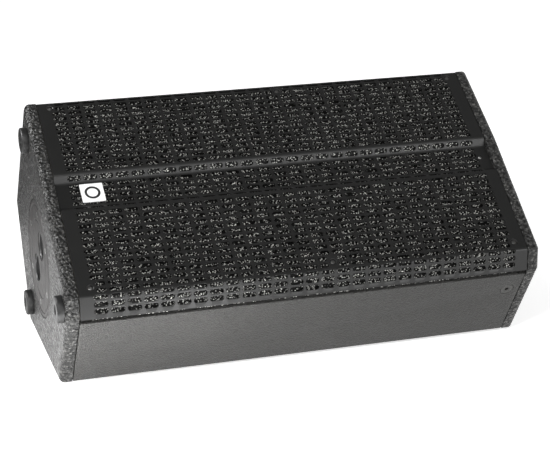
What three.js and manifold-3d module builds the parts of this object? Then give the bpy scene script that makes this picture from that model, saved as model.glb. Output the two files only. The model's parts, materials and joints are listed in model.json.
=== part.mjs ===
// Stage monitor wedge: a passive two-way loudspeaker cabinet lying on its angled floor side.
//
// Millimetres, +Z up, +X along the cabinet. The sloping front looks up towards -Y.
// Most pieces are drawn in the cabinet's own frame, which is turned once at the end: x runs along
// the length, y across the front towards its upper edge, and z straight out of the front.
// Pieces on a side wall are drawn in that wall's frame: y runs along the wall and z points out of it.

import * as THREE from 'three';
import { mergeVertices } from 'three/addons/utils/BufferGeometryUtils.js';
import Module from 'manifold-3d';

const wasm = await Module();
wasm.setup();

// ---------------------------------------------------------------- driving dimensions

const LENGTH = 680;
const END_THICK = 18;
const WALL = 15;
const EDGE_ROUND = 8;
const GAP = 0.3;

// Corners of the cabinet's cross-section, as (y, z) in the cabinet's frame.
const TOP = new THREE.Vector2(176.7, 0);
const RIDGE = new THREE.Vector2(40.5, 0);
const BROW = new THREE.Vector2(-160, -16.4);
const LIP = new THREE.Vector2(-177.6, -43.3);
const TOE = new THREE.Vector2(-175.6, -184.6);
const HEEL = new THREE.Vector2(27, -310.9);
const BACK = new THREE.Vector2(183.6, -212.8);
const OUTLINE = [TOP, RIDGE, BROW, LIP, TOE, HEEL, BACK];

const INNER_HALF = LENGTH / 2 - END_THICK;
const FRONT_WALL_START = 8.4;
const HANDLE_WALL_START = 18;

const GRILLE_THICK = 1.5;
const GRILLE_RETURN = 14;
const GRILLE_END_GAP = 1;
const TROUGH_DEPTH = 10.2;
const TROUGH_UPPER = 30.8;
const TROUGH_LOWER = -12.7;
const TROUGH_STEP = 6.3;
const FOAM_THICK = 6;
const BADGE = { x: -271.5, y: 10.3, size: 32, thick: 2 };

const BATTEN_WIDE = 17;
const BLOCK_WIDE = 18;
const BLOCK_SLACK = 0.9;
const SCREW_X = 304;
const MIDDLE_SCREW_X = 33;
const SCREW_FAR_Y = 165.5;
const SCREW_NEAR_Y = -146.2;
const DIMPLE_RADIUS = 4.6;

const BAFFLE_THICK = 15;
const BAFFLE_FRONT = LIP.y - FRONT_WALL_START + GAP + BAFFLE_THICK;
const BAFFLE_NEAR = { front: -163, back: -170.2, chamferEnd: -48.3 };

const WOOFER = { x: -135, y: -1, radius: 153, cutout: 141, flange: 6 };
const CONE = { inner: 27, outer: 119, deep: 58, thick: 1.6 };
const COIL = { radius: 25.4, wall: 0.9, length: 36 };
const BASKET = { deep: 84, mouth: 134, seat: 139, back: 78, bore: 40, sheet: 3, windows: 6 };
const MOTOR = { plate: 8, plateRadius: 64, magnet: 20, magnetRadius: 80, magnetBore: 36, vent: 8 };
const SURROUND = { lap: 5, centre: 125.8, roll: 6.2, outer: 133, halfThick: 0.6 };
const SPIDER = { outer: 72, above: 13, pleats: 4, rise: 3 };
const DUST_CAP = { radius: 38, rise: 12, thick: 1.2 };
const HORN = { x: 186, y: 0, side: 212, mouth: 94, throat: 12.7, deep: 95 };
const DRIVER = { radius: 46, magnet: 27, cover: 26 };
const PORT = { x: 38, y: 103, bore: 27, wall: 2.5, deep: 72 };

const POLE = { y: 4, z: -134, radius: 84, hub: 74, plate: 5 };
const SOCKETS = { bore: 18.25, wall: 2.2, deep: 75, tilt: THREE.MathUtils.degToRad(5) };
const END_FOOT = { radius: 18.5, tall: 10, chamfer: 2.5 };
const END_FEET = [[134, -28], [23, -259], [-152, -47]];
const FLOOR_FOOT = { radius: 14, tall: 5, x: 270, near: 42, far: 200 };

const HANDLE = { x: 0, y: 153, wide: 160, high: 76, deep: 46, wall: 3, rim: 12 };
const GRIP_RADIUS = 11;
const CONNECTOR = { x: 0, y: 92, wide: 150, high: 104, plate: 3, cutWide: 126, cutHigh: 80 };
const SPEAKER_SOCKET = { apart: 31, bore: 12.2, wall: 1.6, post: 6, deep: 24, flange: 17 };
const BOARD = { wide: 118, high: 72, thick: 2, stand: 38 };
const RIGGING = { x: 302, down: 42.3, radius: 9.5, deep: 9 };

// ---------------------------------------------------------------- shaping helpers

const WITH_ROUND = 32;
const ALONG_X = new THREE.Matrix4().makeBasis(
  new THREE.Vector3(0, 1, 0),
  new THREE.Vector3(0, 0, 1),
  new THREE.Vector3(1, 0, 0),
);
const point = (y, z) => new THREE.Vector2(y, z);

function solidOf(geometry) {
  const bare = geometry.clone();
  bare.deleteAttribute('normal');
  bare.deleteAttribute('uv');
  const merged = mergeVertices(bare, 1e-3);
  return new wasm.Manifold(new wasm.Mesh({
    numProp: 3,
    vertProperties: merged.attributes.position.array,
    triVerts: new Uint32Array(merged.index.array),
  }));
}

function geometryOf(solid) {
  const { vertProperties, triVerts } = solid.getMesh();
  const geometry = new THREE.BufferGeometry();
  geometry.setAttribute('position', new THREE.BufferAttribute(vertProperties, 3));
  geometry.setIndex(new THREE.BufferAttribute(triVerts, 1));
  geometry.computeVertexNormals();
  return geometry;
}

function cut(body, ...tools) {
  return geometryOf(tools.reduce((left, tool) => left.subtract(solidOf(tool)), solidOf(body)));
}

function join(body, ...others) {
  return geometryOf(others.reduce((sum, other) => sum.add(solidOf(other)), solidOf(body)));
}

// A (y, z) outline drawn out along x.
function prism(outline, fromX, toX, bevel = {}) {
  const shape = new THREE.Shape(outline);
  const options = { depth: toX - fromX, bevelEnabled: false, ...bevel };
  return new THREE.ExtrudeGeometry(shape, options).applyMatrix4(ALONG_X).translate(fromX, 0, 0);
}

function box(wide, deep, tall, x, y, z) {
  return new THREE.BoxGeometry(wide, deep, tall).translate(x, y, z);
}

// A [radius, z] profile turned about the z axis. It ends on the axis, or closes on itself.
function turned(profile, segments = WITH_ROUND) {
  const points = profile.map(([radius, z]) => new THREE.Vector2(radius, z));
  if (profile[0][0] > 0) points.push(points[0].clone());
  if (THREE.ShapeUtils.area(points) < 0) points.reverse();
  return new THREE.LatheGeometry(points, segments).rotateX(Math.PI / 2);
}

function rod(radius, fromZ, toZ, segments = WITH_ROUND) {
  return turned([[0, fromZ], [radius, fromZ], [radius, toZ], [0, toZ]], segments);
}

function ring(inner, outer, fromZ, toZ, segments = WITH_ROUND) {
  return turned([[inner, fromZ], [outer, fromZ], [outer, toZ], [inner, toZ]], segments);
}

// Turns a piece made about +z so that its z points out of the base end, along -x.
function outOfBase(geometry, y, z) {
  return geometry.rotateY(-Math.PI / 2).translate(-LENGTH / 2, y, z);
}

// Moves a folded line of (y, z) points inwards, away from its outer face.
function inset(points, distance) {
  return points.map((corner, i) => {
    const before = points[i - 1] ?? corner.clone().multiplyScalar(2).sub(points[i + 1]);
    const after = points[i + 1] ?? corner.clone().multiplyScalar(2).sub(points[i - 1]);
    const into = corner.clone().sub(before).normalize();
    const out = after.clone().sub(corner).normalize();
    const normal = point(-into.y - out.y, into.x + out.x).normalize();
    const stretch = normal.dot(point(-into.y, into.x));
    return corner.clone().addScaledVector(normal, distance / stretch);
  });
}

// ---------------------------------------------------------------- materials and placing

const FINISH = {
  paint: { color: 0x3a3a38, roughness: 0.85, metalness: 0 },
  grille: { color: 0x2a2a28, roughness: 0.5, metalness: 0.3 },
  foam: { color: 0x1c1c1c, roughness: 1, metalness: 0 },
  enamel: { color: 0xf2f2f0, roughness: 0.4, metalness: 0 },
  plywood: { color: 0x2e2a26, roughness: 0.8, metalness: 0 },
  blackSteel: { color: 0x1f1f1f, roughness: 0.45, metalness: 0.8 },
  zinc: { color: 0xb4b6b8, roughness: 0.4, metalness: 0.9 },
  rubber: { color: 0x2b2b2b, roughness: 0.9, metalness: 0 },
  plastic: { color: 0x343230, roughness: 0.45, metalness: 0 },
  paper: { color: 0x262626, roughness: 0.9, metalness: 0 },
  cloth: { color: 0x8a6a3a, roughness: 1, metalness: 0 },
  ferrite: { color: 0x45464a, roughness: 0.7, metalness: 0.1 },
  aluminium: { color: 0xc6c8ca, roughness: 0.35, metalness: 0.9 },
  copper: { color: 0xb06a3c, roughness: 0.4, metalness: 0.8 },
  board: { color: 0x2f5b3a, roughness: 0.6, metalness: 0 },
};

function piece(parent, name, finish, geometry) {
  const mesh = new THREE.Mesh(geometry, new THREE.MeshStandardMaterial(FINISH[finish]));
  mesh.name = name;
  parent.add(mesh);
  return mesh;
}

// A wall's own frame: y runs from start to end and z points out of the cabinet.
function wallFrame(parent, start, end) {
  const frame = new THREE.Group();
  frame.position.set(0, start.x, start.y);
  frame.rotation.x = end.clone().sub(start).angle();
  parent.add(frame);
  return frame;
}

const cabinet = new THREE.Group();
const handleWall = wallFrame(cabinet, TOP, BACK);
const rearWall = wallFrame(cabinet, BACK, HEEL);
const floorWall = wallFrame(cabinet, HEEL, TOE);
const frontWall = wallFrame(cabinet, TOE, LIP);

// ---------------------------------------------------------------- cabinet shell

// Each end panel is one board with its outer edge rounded over.
function endPanel(side) {
  const rounding = {
    bevelEnabled: true,
    bevelSize: EDGE_ROUND,
    bevelOffset: -EDGE_ROUND,
    bevelThickness: EDGE_ROUND,
    bevelSegments: 2,
  };
  const straight = END_THICK - EDGE_ROUND;
  const slab = prism(OUTLINE, -straight, straight, rounding);
  const inside = box(LENGTH, LENGTH, 2 * LENGTH, -side * LENGTH / 2, 0, 0);
  return cut(slab, inside).translate(side * INNER_HALF, 0, 0);
}

// The base end panel is bored for the pole mount and the feet's screws.
function baseEndPanel() {
  const recess = rod(POLE.radius + GAP, -POLE.plate - GAP, 1, 48);
  const through = rod(POLE.hub, -END_THICK - 1, 0, 48);
  const pilots = END_FEET.map(([y, z]) => outOfBase(rod(2.6, -14, 1, 8), y, z));
  return cut(
    endPanel(-1),
    outOfBase(recess, POLE.y, POLE.z),
    outOfBase(through, POLE.y, POLE.z),
    ...pilots,
  );
}

// How far a wall's inner face falls short of a corner where two walls are mitred.
function mitre(before, corner, after) {
  const back = before.clone().sub(corner);
  const forth = after.clone().sub(corner);
  const angle = Math.acos(back.dot(forth) / (back.length() * forth.length()));
  return WALL / Math.tan(angle / 2);
}

// A wall board between the end panels, square where its mitre is 0.
function wallBoard(from, to, mitreFrom, mitreTo) {
  const half = INNER_HALF - GAP;
  const slack = GAP / 2;
  return prism([
    point(from + slack, 0),
    point(from + mitreFrom + slack, -WALL),
    point(to - mitreTo - slack, -WALL),
    point(to - slack, 0),
  ], -half, half);
}

function shell() {
  const toeMitre = mitre(LIP, TOE, HEEL);
  const heelMitre = mitre(TOE, HEEL, BACK);
  const backMitre = mitre(HEEL, BACK, TOP);
  const frontLength = TOE.distanceTo(LIP);
  const handleHole = box(HANDLE.wide + 2, HANDLE.high + 2, 3 * WALL, HANDLE.x, HANDLE.y, 0);
  const plateHole = box(CONNECTOR.cutWide, CONNECTOR.cutHigh, 3 * WALL, CONNECTOR.x, CONNECTOR.y, 0);
  const rigHole = rod(RIGGING.radius + GAP, -RIGGING.deep - GAP, 1, 24);

  piece(cabinet, 'end_panel_base', 'paint', baseEndPanel());
  piece(cabinet, 'end_panel_top', 'paint', endPanel(1));
  piece(frontWall, 'front_side_panel', 'paint', cut(
    wallBoard(0, frontLength - FRONT_WALL_START, toeMitre, 0),
    rigHole.clone().translate(RIGGING.x, frontLength - RIGGING.down, 0),
  ));
  piece(floorWall, 'floor_side_panel', 'paint', wallBoard(0, HEEL.distanceTo(TOE), heelMitre, toeMitre));
  piece(rearWall, 'rear_panel', 'paint', cut(
    wallBoard(0, BACK.distanceTo(HEEL), backMitre, heelMitre),
    plateHole,
  ));
  piece(handleWall, 'handle_side_panel', 'paint', cut(
    wallBoard(HANDLE_WALL_START, TOP.distanceTo(BACK), 0, backMitre),
    handleHole,
    rigHole.clone().translate(RIGGING.x, RIGGING.down, 0),
  ));
}

// ---------------------------------------------------------------- grille

// Height of the grille's outer face at a place across the front, and how its near part slopes.
const NEAR_SLOPE = (RIDGE.y - BROW.y) / (RIDGE.x - BROW.x);
const grilleZ = (y) => Math.min(y - RIDGE.x, 0) * NEAR_SLOPE;
const grilleTilt = (y) => (y < RIDGE.x ? Math.atan(NEAR_SLOPE) : 0);

// The grille's outer face from its upper return to its lower lip, as it is folded.
function grilleLine() {
  const along = BACK.clone().sub(TOP).normalize();
  const stepTop = TROUGH_LOWER - TROUGH_STEP;
  return [
    TOP.clone().addScaledVector(along, GRILLE_RETURN),
    TOP,
    RIDGE,
    point(TROUGH_UPPER, -TROUGH_DEPTH),
    point(TROUGH_LOWER, -TROUGH_DEPTH),
    point(stepTop, (stepTop - RIDGE.x) * NEAR_SLOPE),
    BROW,
    LIP,
  ];
}

// A layer that follows the grille, between two depths below its outer face.
function layer(outerDepth, innerDepth, halfLength) {
  const line = grilleLine();
  const outline = [...inset(line, outerDepth), ...inset(line, innerDepth).reverse()];
  return prism(outline, -halfLength, halfLength);
}

const SCREW_PLACES = [
  ['far_base', -SCREW_X, SCREW_FAR_Y],
  ['far_middle', MIDDLE_SCREW_X, SCREW_FAR_Y],
  ['far_top', SCREW_X, SCREW_FAR_Y],
  ['near_base', -SCREW_X, SCREW_NEAR_Y],
  ['near_middle', MIDDLE_SCREW_X, SCREW_NEAR_Y],
  ['near_top', SCREW_X, SCREW_NEAR_Y],
];

// Round-headed screw: the head sits in its dimple and the shank runs into the wood.
function grilleScrew() {
  return turned([[0, -14], [1.8, -13], [1.8, -1.5], [3.8, -1.5], [3.8, -0.9], [2.4, -0.2], [0, -0.2]], 12);
}

function grilleAssembly() {
  const foamTop = GRILLE_THICK + GAP;
  const half = INNER_HALF - GRILLE_END_GAP;
  const innerEdge = INNER_HALF - GRILLE_END_GAP - BATTEN_WIDE;
  const atScrews = (make) => SCREW_PLACES.map(([, x, y]) =>
    make().rotateX(grilleTilt(y)).translate(x, y, grilleZ(y)));

  piece(cabinet, 'grille', 'grille', cut(
    layer(0, GRILLE_THICK, half),
    ...atScrews(() => rod(DIMPLE_RADIUS, -4, 4, 12)),
  ));
  piece(cabinet, 'grille_foam', 'foam', cut(
    layer(foamTop, foamTop + FOAM_THICK, innerEdge - GAP),
    ...atScrews(() => box(BLOCK_WIDE + 4, BLOCK_WIDE + 4, 30, 0, 0, -8)),
  ));

  // The battens back the plain margins at both ends, and stand on the baffle and the handle wall.
  const floor = BAFFLE_FRONT + GAP;
  const shelf = 2 * GAP - HANDLE_WALL_START;
  const under = inset(grilleLine(), foamTop).slice(1, -1);
  const battenOutline = [
    point(TOP.x - WALL - 2, floor),
    point(TOP.x - WALL - 2, shelf),
    point(under[0].x, shelf),
    ...under,
    point(BAFFLE_NEAR.front, floor),
  ];
  const pilots = atScrews(() => rod(2.1, -16, 4, 8));
  for (const [name, side] of [['base', -1], ['top', 1]]) {
    const from = side < 0 ? -half : innerEdge;
    const batten = prism(battenOutline, from, from + BATTEN_WIDE);
    piece(cabinet, `grille_batten_${name}`, 'plywood', cut(batten, ...pilots));
  }
  for (const [name, y, foot] of [['far', SCREW_FAR_Y, shelf], ['near', SCREW_NEAR_Y, floor]]) {
    const tall = grilleZ(y) - foamTop - BLOCK_SLACK - foot;
    const block = box(BLOCK_WIDE, BLOCK_WIDE - 2, tall, MIDDLE_SCREW_X, y, foot + tall / 2);
    piece(cabinet, `grille_block_${name}`, 'plywood', cut(block, ...pilots));
  }
  for (const [name, x, y] of SCREW_PLACES) {
    const screw = piece(cabinet, `grille_screw_${name}`, 'blackSteel', grilleScrew());
    screw.rotation.x = grilleTilt(y);
    screw.position.set(x, y, grilleZ(y));
  }

  const badgeZ = -TROUGH_DEPTH + GAP + BADGE.thick / 2;
  const { size, thick } = BADGE;
  piece(cabinet, 'badge', 'enamel', new THREE.BoxGeometry(size, size, thick))
    .position.set(BADGE.x, BADGE.y, badgeZ);
}

// ---------------------------------------------------------------- baffle

function baffle() {
  const back = BAFFLE_FRONT - BAFFLE_THICK;
  const outline = [
    point(TOP.x - WALL - GAP, BAFFLE_FRONT),
    point(BAFFLE_NEAR.front, BAFFLE_FRONT),
    point(BAFFLE_NEAR.back, BAFFLE_NEAR.chamferEnd),
    point(BAFFLE_NEAR.back, back),
    point(TOP.x - WALL - GAP, back),
  ];
  const rebate = WOOFER.flange + GAP;
  const woofer = [
    rod(WOOFER.cutout, back - 5, 0, 48),
    rod(WOOFER.radius + GAP, BAFFLE_FRONT - rebate, 0, 48),
  ].map((tool) => tool.translate(WOOFER.x, WOOFER.y, 0));
  const horn = rod(HORN.mouth + 4, back - 5, 0, 48).translate(HORN.x, HORN.y, 0);
  const ports = [-1, 1].map((side) =>
    rod(PORT.bore + PORT.wall + GAP, back - 5, 0).translate(PORT.x, side * PORT.y, 0));
  return cut(prism(outline, GAP - INNER_HALF, INNER_HALF - GAP), ...woofer, horn, ...ports);
}

// ---------------------------------------------------------------- woofer

const WOOFER_REST = BAFFLE_FRONT;
const PLATE_TOP = WOOFER_REST - BASKET.deep;
const CONE_RIM = WOOFER_REST - 4;

// Height of the cone's front face at a radius.
const coneZ = (radius) => CONE_RIM - CONE.deep * (CONE.outer - radius) / (CONE.outer - CONE.inner);

function basket() {
  const { mouth, seat, back, bore, sheet } = BASKET;
  const floor = PLATE_TOP + GAP;
  const flangeBack = WOOFER_REST - WOOFER.flange;
  const bowl = turned([
    [mouth, WOOFER_REST],
    [WOOFER.radius, WOOFER_REST],
    [WOOFER.radius, flangeBack],
    [seat, flangeBack],
    [back, floor],
    [bore, floor],
    [bore, floor + sheet],
    [back - sheet, floor + sheet],
    [mouth, flangeBack + 1],
  ], 36);
  const windows = [];
  for (let i = 0; i < BASKET.windows; i += 1) {
    const window = box(90, 62, 46, 105, 0, WOOFER_REST - 44);
    windows.push(window.rotateZ(2 * Math.PI * i / BASKET.windows));
  }
  return cut(bowl, ...windows);
}

function cone() {
  const { inner, outer, thick } = CONE;
  return turned([
    [inner, coneZ(inner)],
    [inner, coneZ(inner) - thick],
    [outer, coneZ(outer) - thick],
    [outer, coneZ(outer)],
  ]);
}

function dustCap() {
  const { radius, rise, thick } = DUST_CAP;
  const base = coneZ(radius) + GAP;
  const arc = (lift) => [0, 0.35, 0.7, 1].map((t) => [radius * t, base + lift + rise * (1 - t * t)]);
  return turned([...arc(0), ...arc(thick).reverse()], 24);
}

// The surround is a half roll between the cone's rim and the basket.
function surround() {
  const { lap, centre, roll, outer, halfThick } = SURROUND;
  const foot = CONE_RIM + 2 * GAP;
  const top = foot + 1;
  const steps = 4;
  const half = (radius) => Array.from({ length: steps + 1 }, (_, i) => {
    const angle = Math.PI * (1 - i / steps);
    return [centre + radius * Math.cos(angle), top + radius * Math.sin(angle)];
  });
  return turned([
    [CONE.outer - lap, foot],
    [CONE.outer - lap, top],
    ...half(roll + halfThick),
    [outer, top],
    [outer, foot],
    ...half(roll - halfThick).reverse(),
  ], 28);
}

// The spider is a pleated cloth ring between the coil former and the basket.
function spider() {
  const inner = COIL.radius + COIL.wall + 2 * GAP;
  const { outer, above, pleats, rise } = SPIDER;
  const folds = 2 * pleats;
  const wave = (lift) => Array.from({ length: folds + 1 }, (_, i) =>
    [inner + (outer - inner) * i / folds, PLATE_TOP + above + lift + (i % 2) * rise]);
  return turned([...wave(0), ...wave(1).reverse()], 24);
}

function woofer() {
  const group = new THREE.Group();
  group.position.set(WOOFER.x, WOOFER.y, 0);
  cabinet.add(group);
  const plateBack = PLATE_TOP - MOTOR.plate;
  const magnetTop = plateBack - GAP;
  const magnetBack = magnetTop - MOTOR.magnet;
  const backTop = magnetBack - GAP;
  const coilTop = coneZ(CONE.inner) - CONE.thick - GAP;
  const slot = 0.8;
  const poleTop = PLATE_TOP + 1;
  const poleRadius = COIL.radius - slot;

  piece(group, 'woofer_basket', 'blackSteel', basket());
  piece(group, 'woofer_top_plate', 'zinc',
    ring(COIL.radius + COIL.wall + slot, MOTOR.plateRadius, plateBack, PLATE_TOP));
  piece(group, 'woofer_magnet', 'ferrite',
    ring(MOTOR.magnetBore, MOTOR.magnetRadius, magnetBack, magnetTop));
  piece(group, 'woofer_back_plate', 'zinc', turned([
    [MOTOR.vent, poleTop],
    [poleRadius, poleTop],
    [poleRadius, backTop],
    [MOTOR.magnetRadius - 3, backTop],
    [MOTOR.magnetRadius - 3, backTop - MOTOR.plate],
    [MOTOR.vent, backTop - MOTOR.plate],
  ]));
  piece(group, 'woofer_voice_coil', 'copper',
    ring(COIL.radius, COIL.radius + COIL.wall, coilTop - COIL.length, coilTop, 24));
  piece(group, 'woofer_cone', 'paper', cone());
  piece(group, 'woofer_dust_cap', 'paper', dustCap());
  piece(group, 'woofer_surround', 'cloth', surround());
  piece(group, 'woofer_spider', 'cloth', spider());
}

// ---------------------------------------------------------------- horn and its driver

// The horn's radius grows faster and faster from throat to mouth.
function hornWall(extra) {
  const steps = 6;
  return Array.from({ length: steps + 1 }, (_, i) => {
    const t = i / steps;
    const flare = t * (0.3 + 0.7 * t * t);
    return [HORN.throat + (HORN.mouth - HORN.throat) * flare + extra, BAFFLE_FRONT - HORN.deep * (1 - t)];
  });
}

function hornAndDriver() {
  const group = new THREE.Group();
  group.position.set(HORN.x, HORN.y, 0);
  cabinet.add(group);
  const wallThick = 3;
  const front = BAFFLE_FRONT + GAP;
  const inner = hornWall(0).map(([radius, z]) => [radius, z + (z > BAFFLE_FRONT - 1 ? 4 + GAP : 0)]);
  const bell = turned([...inner, ...hornWall(wallThick).reverse()], 36);
  const plate = cut(
    box(HORN.side, HORN.side, 4, 0, 0, front + 2),
    rod(HORN.mouth, front - 5, front + 10, 36),
  );
  piece(group, 'horn', 'plastic', join(plate, bell));

  const throatBack = BAFFLE_FRONT - HORN.deep - GAP;
  const magnetBack = throatBack - DRIVER.magnet;
  const domeLevel = magnetBack - 2;
  piece(group, 'driver_magnet', 'ferrite', ring(HORN.throat, DRIVER.radius, magnetBack, throatBack, 28));
  piece(group, 'driver_diaphragm', 'aluminium', turned([
    [0, domeLevel - 7],
    [16, domeLevel - 4],
    [22, domeLevel],
    [24, domeLevel],
    [24, domeLevel - 1],
    [22.4, domeLevel - 1],
    [16, domeLevel - 5.2],
    [0, domeLevel - 8.2],
  ], 24));
  const coverTop = magnetBack - GAP;
  piece(group, 'driver_rear_cover', 'plastic', turned([
    [0, coverTop - DRIVER.cover],
    [DRIVER.radius - 1, coverTop - DRIVER.cover],
    [DRIVER.radius - 1, coverTop],
    [30, coverTop],
    [30, coverTop - DRIVER.cover + 4],
    [0, coverTop - DRIVER.cover + 4],
  ], 28));
}

// ---------------------------------------------------------------- reflex ports

function portTube(side) {
  const outer = PORT.bore + PORT.wall;
  const rim = BAFFLE_FRONT + GAP;
  return turned([
    [PORT.bore, BAFFLE_FRONT - PORT.deep],
    [outer, BAFFLE_FRONT - PORT.deep],
    [outer, rim],
    [outer + 4, rim],
    [outer + 4, rim + 2],
    [PORT.bore, rim + 2],
  ], 24).translate(PORT.x, side * PORT.y, 0);
}

// ---------------------------------------------------------------- base end: pole mount and feet

const STRAIGHT = { y: -1, z: -101, tilt: 0 };
const TILTED = { y: 7, z: -158.5, tilt: SOCKETS.tilt };

// Places a piece made about +z in a pole socket, where z points out of the base end.
function inSocket(socket, geometry) {
  return outOfBase(geometry.rotateY(socket.tilt), socket.y, socket.z);
}

function poleSleeve(socket) {
  const { bore, wall, deep } = SOCKETS;
  return inSocket(socket, turned([
    [0, -deep - 2.5],
    [bore + wall, -deep - 2.5],
    [bore + wall, -0.8],
    [bore, -0.8],
    [bore, -deep],
    [0, -deep],
  ], 28));
}

function poleMount() {
  const fit = SOCKETS.bore + SOCKETS.wall + GAP;
  const flange = outOfBase(rod(POLE.radius, -POLE.plate, 0, 48), POLE.y, POLE.z);
  const collars = [STRAIGHT, TILTED].map((socket) => inSocket(socket, rod(fit + 4, -26, -2, 28)));
  const bores = [STRAIGHT, TILTED].map((socket) => inSocket(socket, rod(fit, -40, 4, 28)));
  piece(cabinet, 'pole_mount_plate', 'plastic', cut(join(flange, ...collars), ...bores));
  piece(cabinet, 'pole_sleeve_straight', 'blackSteel', poleSleeve(STRAIGHT));
  piece(cabinet, 'pole_sleeve_tilted', 'blackSteel', poleSleeve(TILTED));
}

function endFeet() {
  const { radius, tall, chamfer } = END_FOOT;
  const foot = [
    [2.6, GAP],
    [radius, GAP],
    [radius, tall - chamfer],
    [radius - chamfer, tall],
    [7, tall],
    [7, tall - 5],
    [2.6, tall - 5],
  ];
  const screw = [[0, -11], [2.1, -11], [2.1, 5.3], [5.6, 5.3], [5.6, 7.2], [3.6, 8.4], [0, 8.4]];
  END_FEET.forEach(([y, z], i) => {
    piece(cabinet, `end_foot_${i + 1}`, 'rubber', outOfBase(turned(foot, 28), y, z));
    piece(cabinet, `end_foot_screw_${i + 1}`, 'zinc', outOfBase(turned(screw, 12), y, z));
  });
}

// ---------------------------------------------------------------- floor feet

function floorFeet() {
  const { radius, tall, x, near, far } = FLOOR_FOOT;
  const length = HEEL.distanceTo(TOE);
  const profile = [[0, GAP], [radius, GAP], [radius, tall - 1.5], [radius - 1.5, tall], [0, tall]];
  for (const [row, distance] of [['near', near], ['far', far]]) {
    for (const [name, side] of [['base', -1], ['top', 1]]) {
      const foot = turned(profile, 20).translate(side * x, length - distance, 0);
      piece(floorWall, `floor_foot_${row}_${name}`, 'rubber', foot);
    }
  }
}

// ---------------------------------------------------------------- carrying handle

function handle() {
  const { x, y, wide, high, deep, wall, rim } = HANDLE;
  const rimThick = 2.5;
  const flange = box(wide + 2 * rim, high + 2 * rim, rimThick, x, y, GAP + rimThick / 2);
  const cup = box(wide, high, deep + rimThick, x, y, GAP - deep / 2 + rimThick / 2);
  const hollow = box(wide - 2 * wall, high - 2 * wall, deep, x, y, wall + GAP - deep / 2 + rimThick);
  piece(handleWall, 'handle_cup', 'plastic', cut(join(flange, cup), hollow));
  const gripLength = wide - 2 * wall - 2 * GAP;
  const grip = rod(GRIP_RADIUS, -gripLength / 2, gripLength / 2, 16).rotateY(Math.PI / 2);
  piece(handleWall, 'handle_grip', 'blackSteel', grip.translate(x, y, -GRIP_RADIUS));
}

// ---------------------------------------------------------------- connector plate and crossover

function connectorAssembly() {
  const { x, y, wide, high, plate } = CONNECTOR;
  const { apart, bore, wall, post, deep, flange } = SPEAKER_SOCKET;
  const outer = bore + wall;
  const holes = [-1, 1].map((side) => rod(outer + GAP, -20, 20, 24).translate(x + side * apart, y, 0));
  const face = box(wide, high, plate, x, y, GAP + plate / 2);
  piece(rearWall, 'connector_plate', 'blackSteel', cut(face, ...holes));
  const rim = GAP + plate + GAP;
  const socket = [
    [0, -deep - 2],
    [outer, -deep - 2],
    [outer, rim],
    [flange, rim],
    [flange, rim + 1.5],
    [bore, rim + 1.5],
    [bore, -deep],
    [post, -deep],
    [post, 0],
    [0, 0],
  ];
  for (const [name, side] of [['input', -1], ['link', 1]]) {
    piece(rearWall, `speaker_socket_${name}`, 'plastic', turned(socket, 24).translate(x + side * apart, y, 0));
  }

  // The crossover stands behind the plate on four posts.
  const level = -BOARD.stand;
  const posts = [[-1, -1], [1, -1], [1, 1], [-1, 1]].map(([a, b]) =>
    rod(3.5, level, 0, 10).translate(x + a * (BOARD.wide / 2 - 6), y + b * (BOARD.high / 2 - 6), 0));
  const card = box(BOARD.wide, BOARD.high, BOARD.thick, x, y, level - BOARD.thick / 2);
  piece(rearWall, 'crossover_board', 'board', join(card, ...posts));
  const partTop = level - BOARD.thick - GAP;
  piece(rearWall, 'crossover_coil', 'copper', ring(9, 24, partTop - 20, partTop, 24).translate(x - 28, y, 0));
  const can = rod(11, -22, 22, 16).rotateX(Math.PI / 2);
  piece(rearWall, 'crossover_capacitor', 'plastic', can.translate(x + 26, y, partTop - 11));
}

// ---------------------------------------------------------------- rigging plugs and wires

// A countersunk plug with a hexagon recess closes each threaded rigging point.
function riggingPlug() {
  const body = rod(RIGGING.radius, -RIGGING.deep, 0, 24);
  return cut(body, rod(3.4, -5, 1, 6));
}

function wire(name, places) {
  const route = new THREE.CatmullRomCurve3(places.map((place) => new THREE.Vector3(...place)));
  const section = new THREE.Shape();
  section.absarc(0, 0, 2.5, 0, 2 * Math.PI);
  const options = { steps: 20, curveSegments: 4, extrudePath: route, bevelEnabled: false };
  piece(cabinet, name, 'plastic', new THREE.ExtrudeGeometry(section, options));
}

// ---------------------------------------------------------------- the whole wedge

shell();
grilleAssembly();
piece(cabinet, 'baffle', 'plywood', baffle());
woofer();
hornAndDriver();
piece(cabinet, 'port_tube_near', 'plastic', portTube(-1));
piece(cabinet, 'port_tube_far', 'plastic', portTube(1));
poleMount();
endFeet();
floorFeet();
handle();
connectorAssembly();
piece(frontWall, 'rigging_plug_front', 'zinc', riggingPlug())
  .position.set(RIGGING.x, TOE.distanceTo(LIP) - RIGGING.down, 0);
piece(handleWall, 'rigging_plug_back', 'zinc', riggingPlug()).position.set(RIGGING.x, RIGGING.down, 0);
wire('wire_woofer', [[-57, 82, -224], [-80, 95, -200], [-105, 112, -160], [-128, 112, -120], [-135, 104.5, -98]]);
wire('wire_driver', [[57, 82, -224], [85, 80, -212], [120, 72, -195], [160, 62, -180], [182, 50.5, -172]]);

// Lay the cabinet on its floor side, with the middle of its box over the origin.
cabinet.rotation.x = -HEEL.clone().sub(TOE).angle();
const wedge = new THREE.Group();
wedge.add(cabinet);
const bounds = new THREE.Box3().setFromObject(wedge, true);
const middle = bounds.getCenter(new THREE.Vector3());
cabinet.position.set(-middle.x, -middle.y, -bounds.min.z);

export default wedge;
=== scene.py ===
"""Stage monitor wedge: its finished pieces and finishes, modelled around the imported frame.

The sizes in the tables are millimetres in the cabinet's own frame: x runs along the length, y
across the sloping front towards its upper edge, and z straight out of the front. A piece is
modelled in millimetres and its mesh is then placed in the row's frame, in metres.
"""

import json
import math
from contextlib import contextmanager

import bmesh
import bpy
from bpy.props import FloatProperty, FloatVectorProperty, IntProperty, PointerProperty
from mathutils import Matrix, Vector


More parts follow.
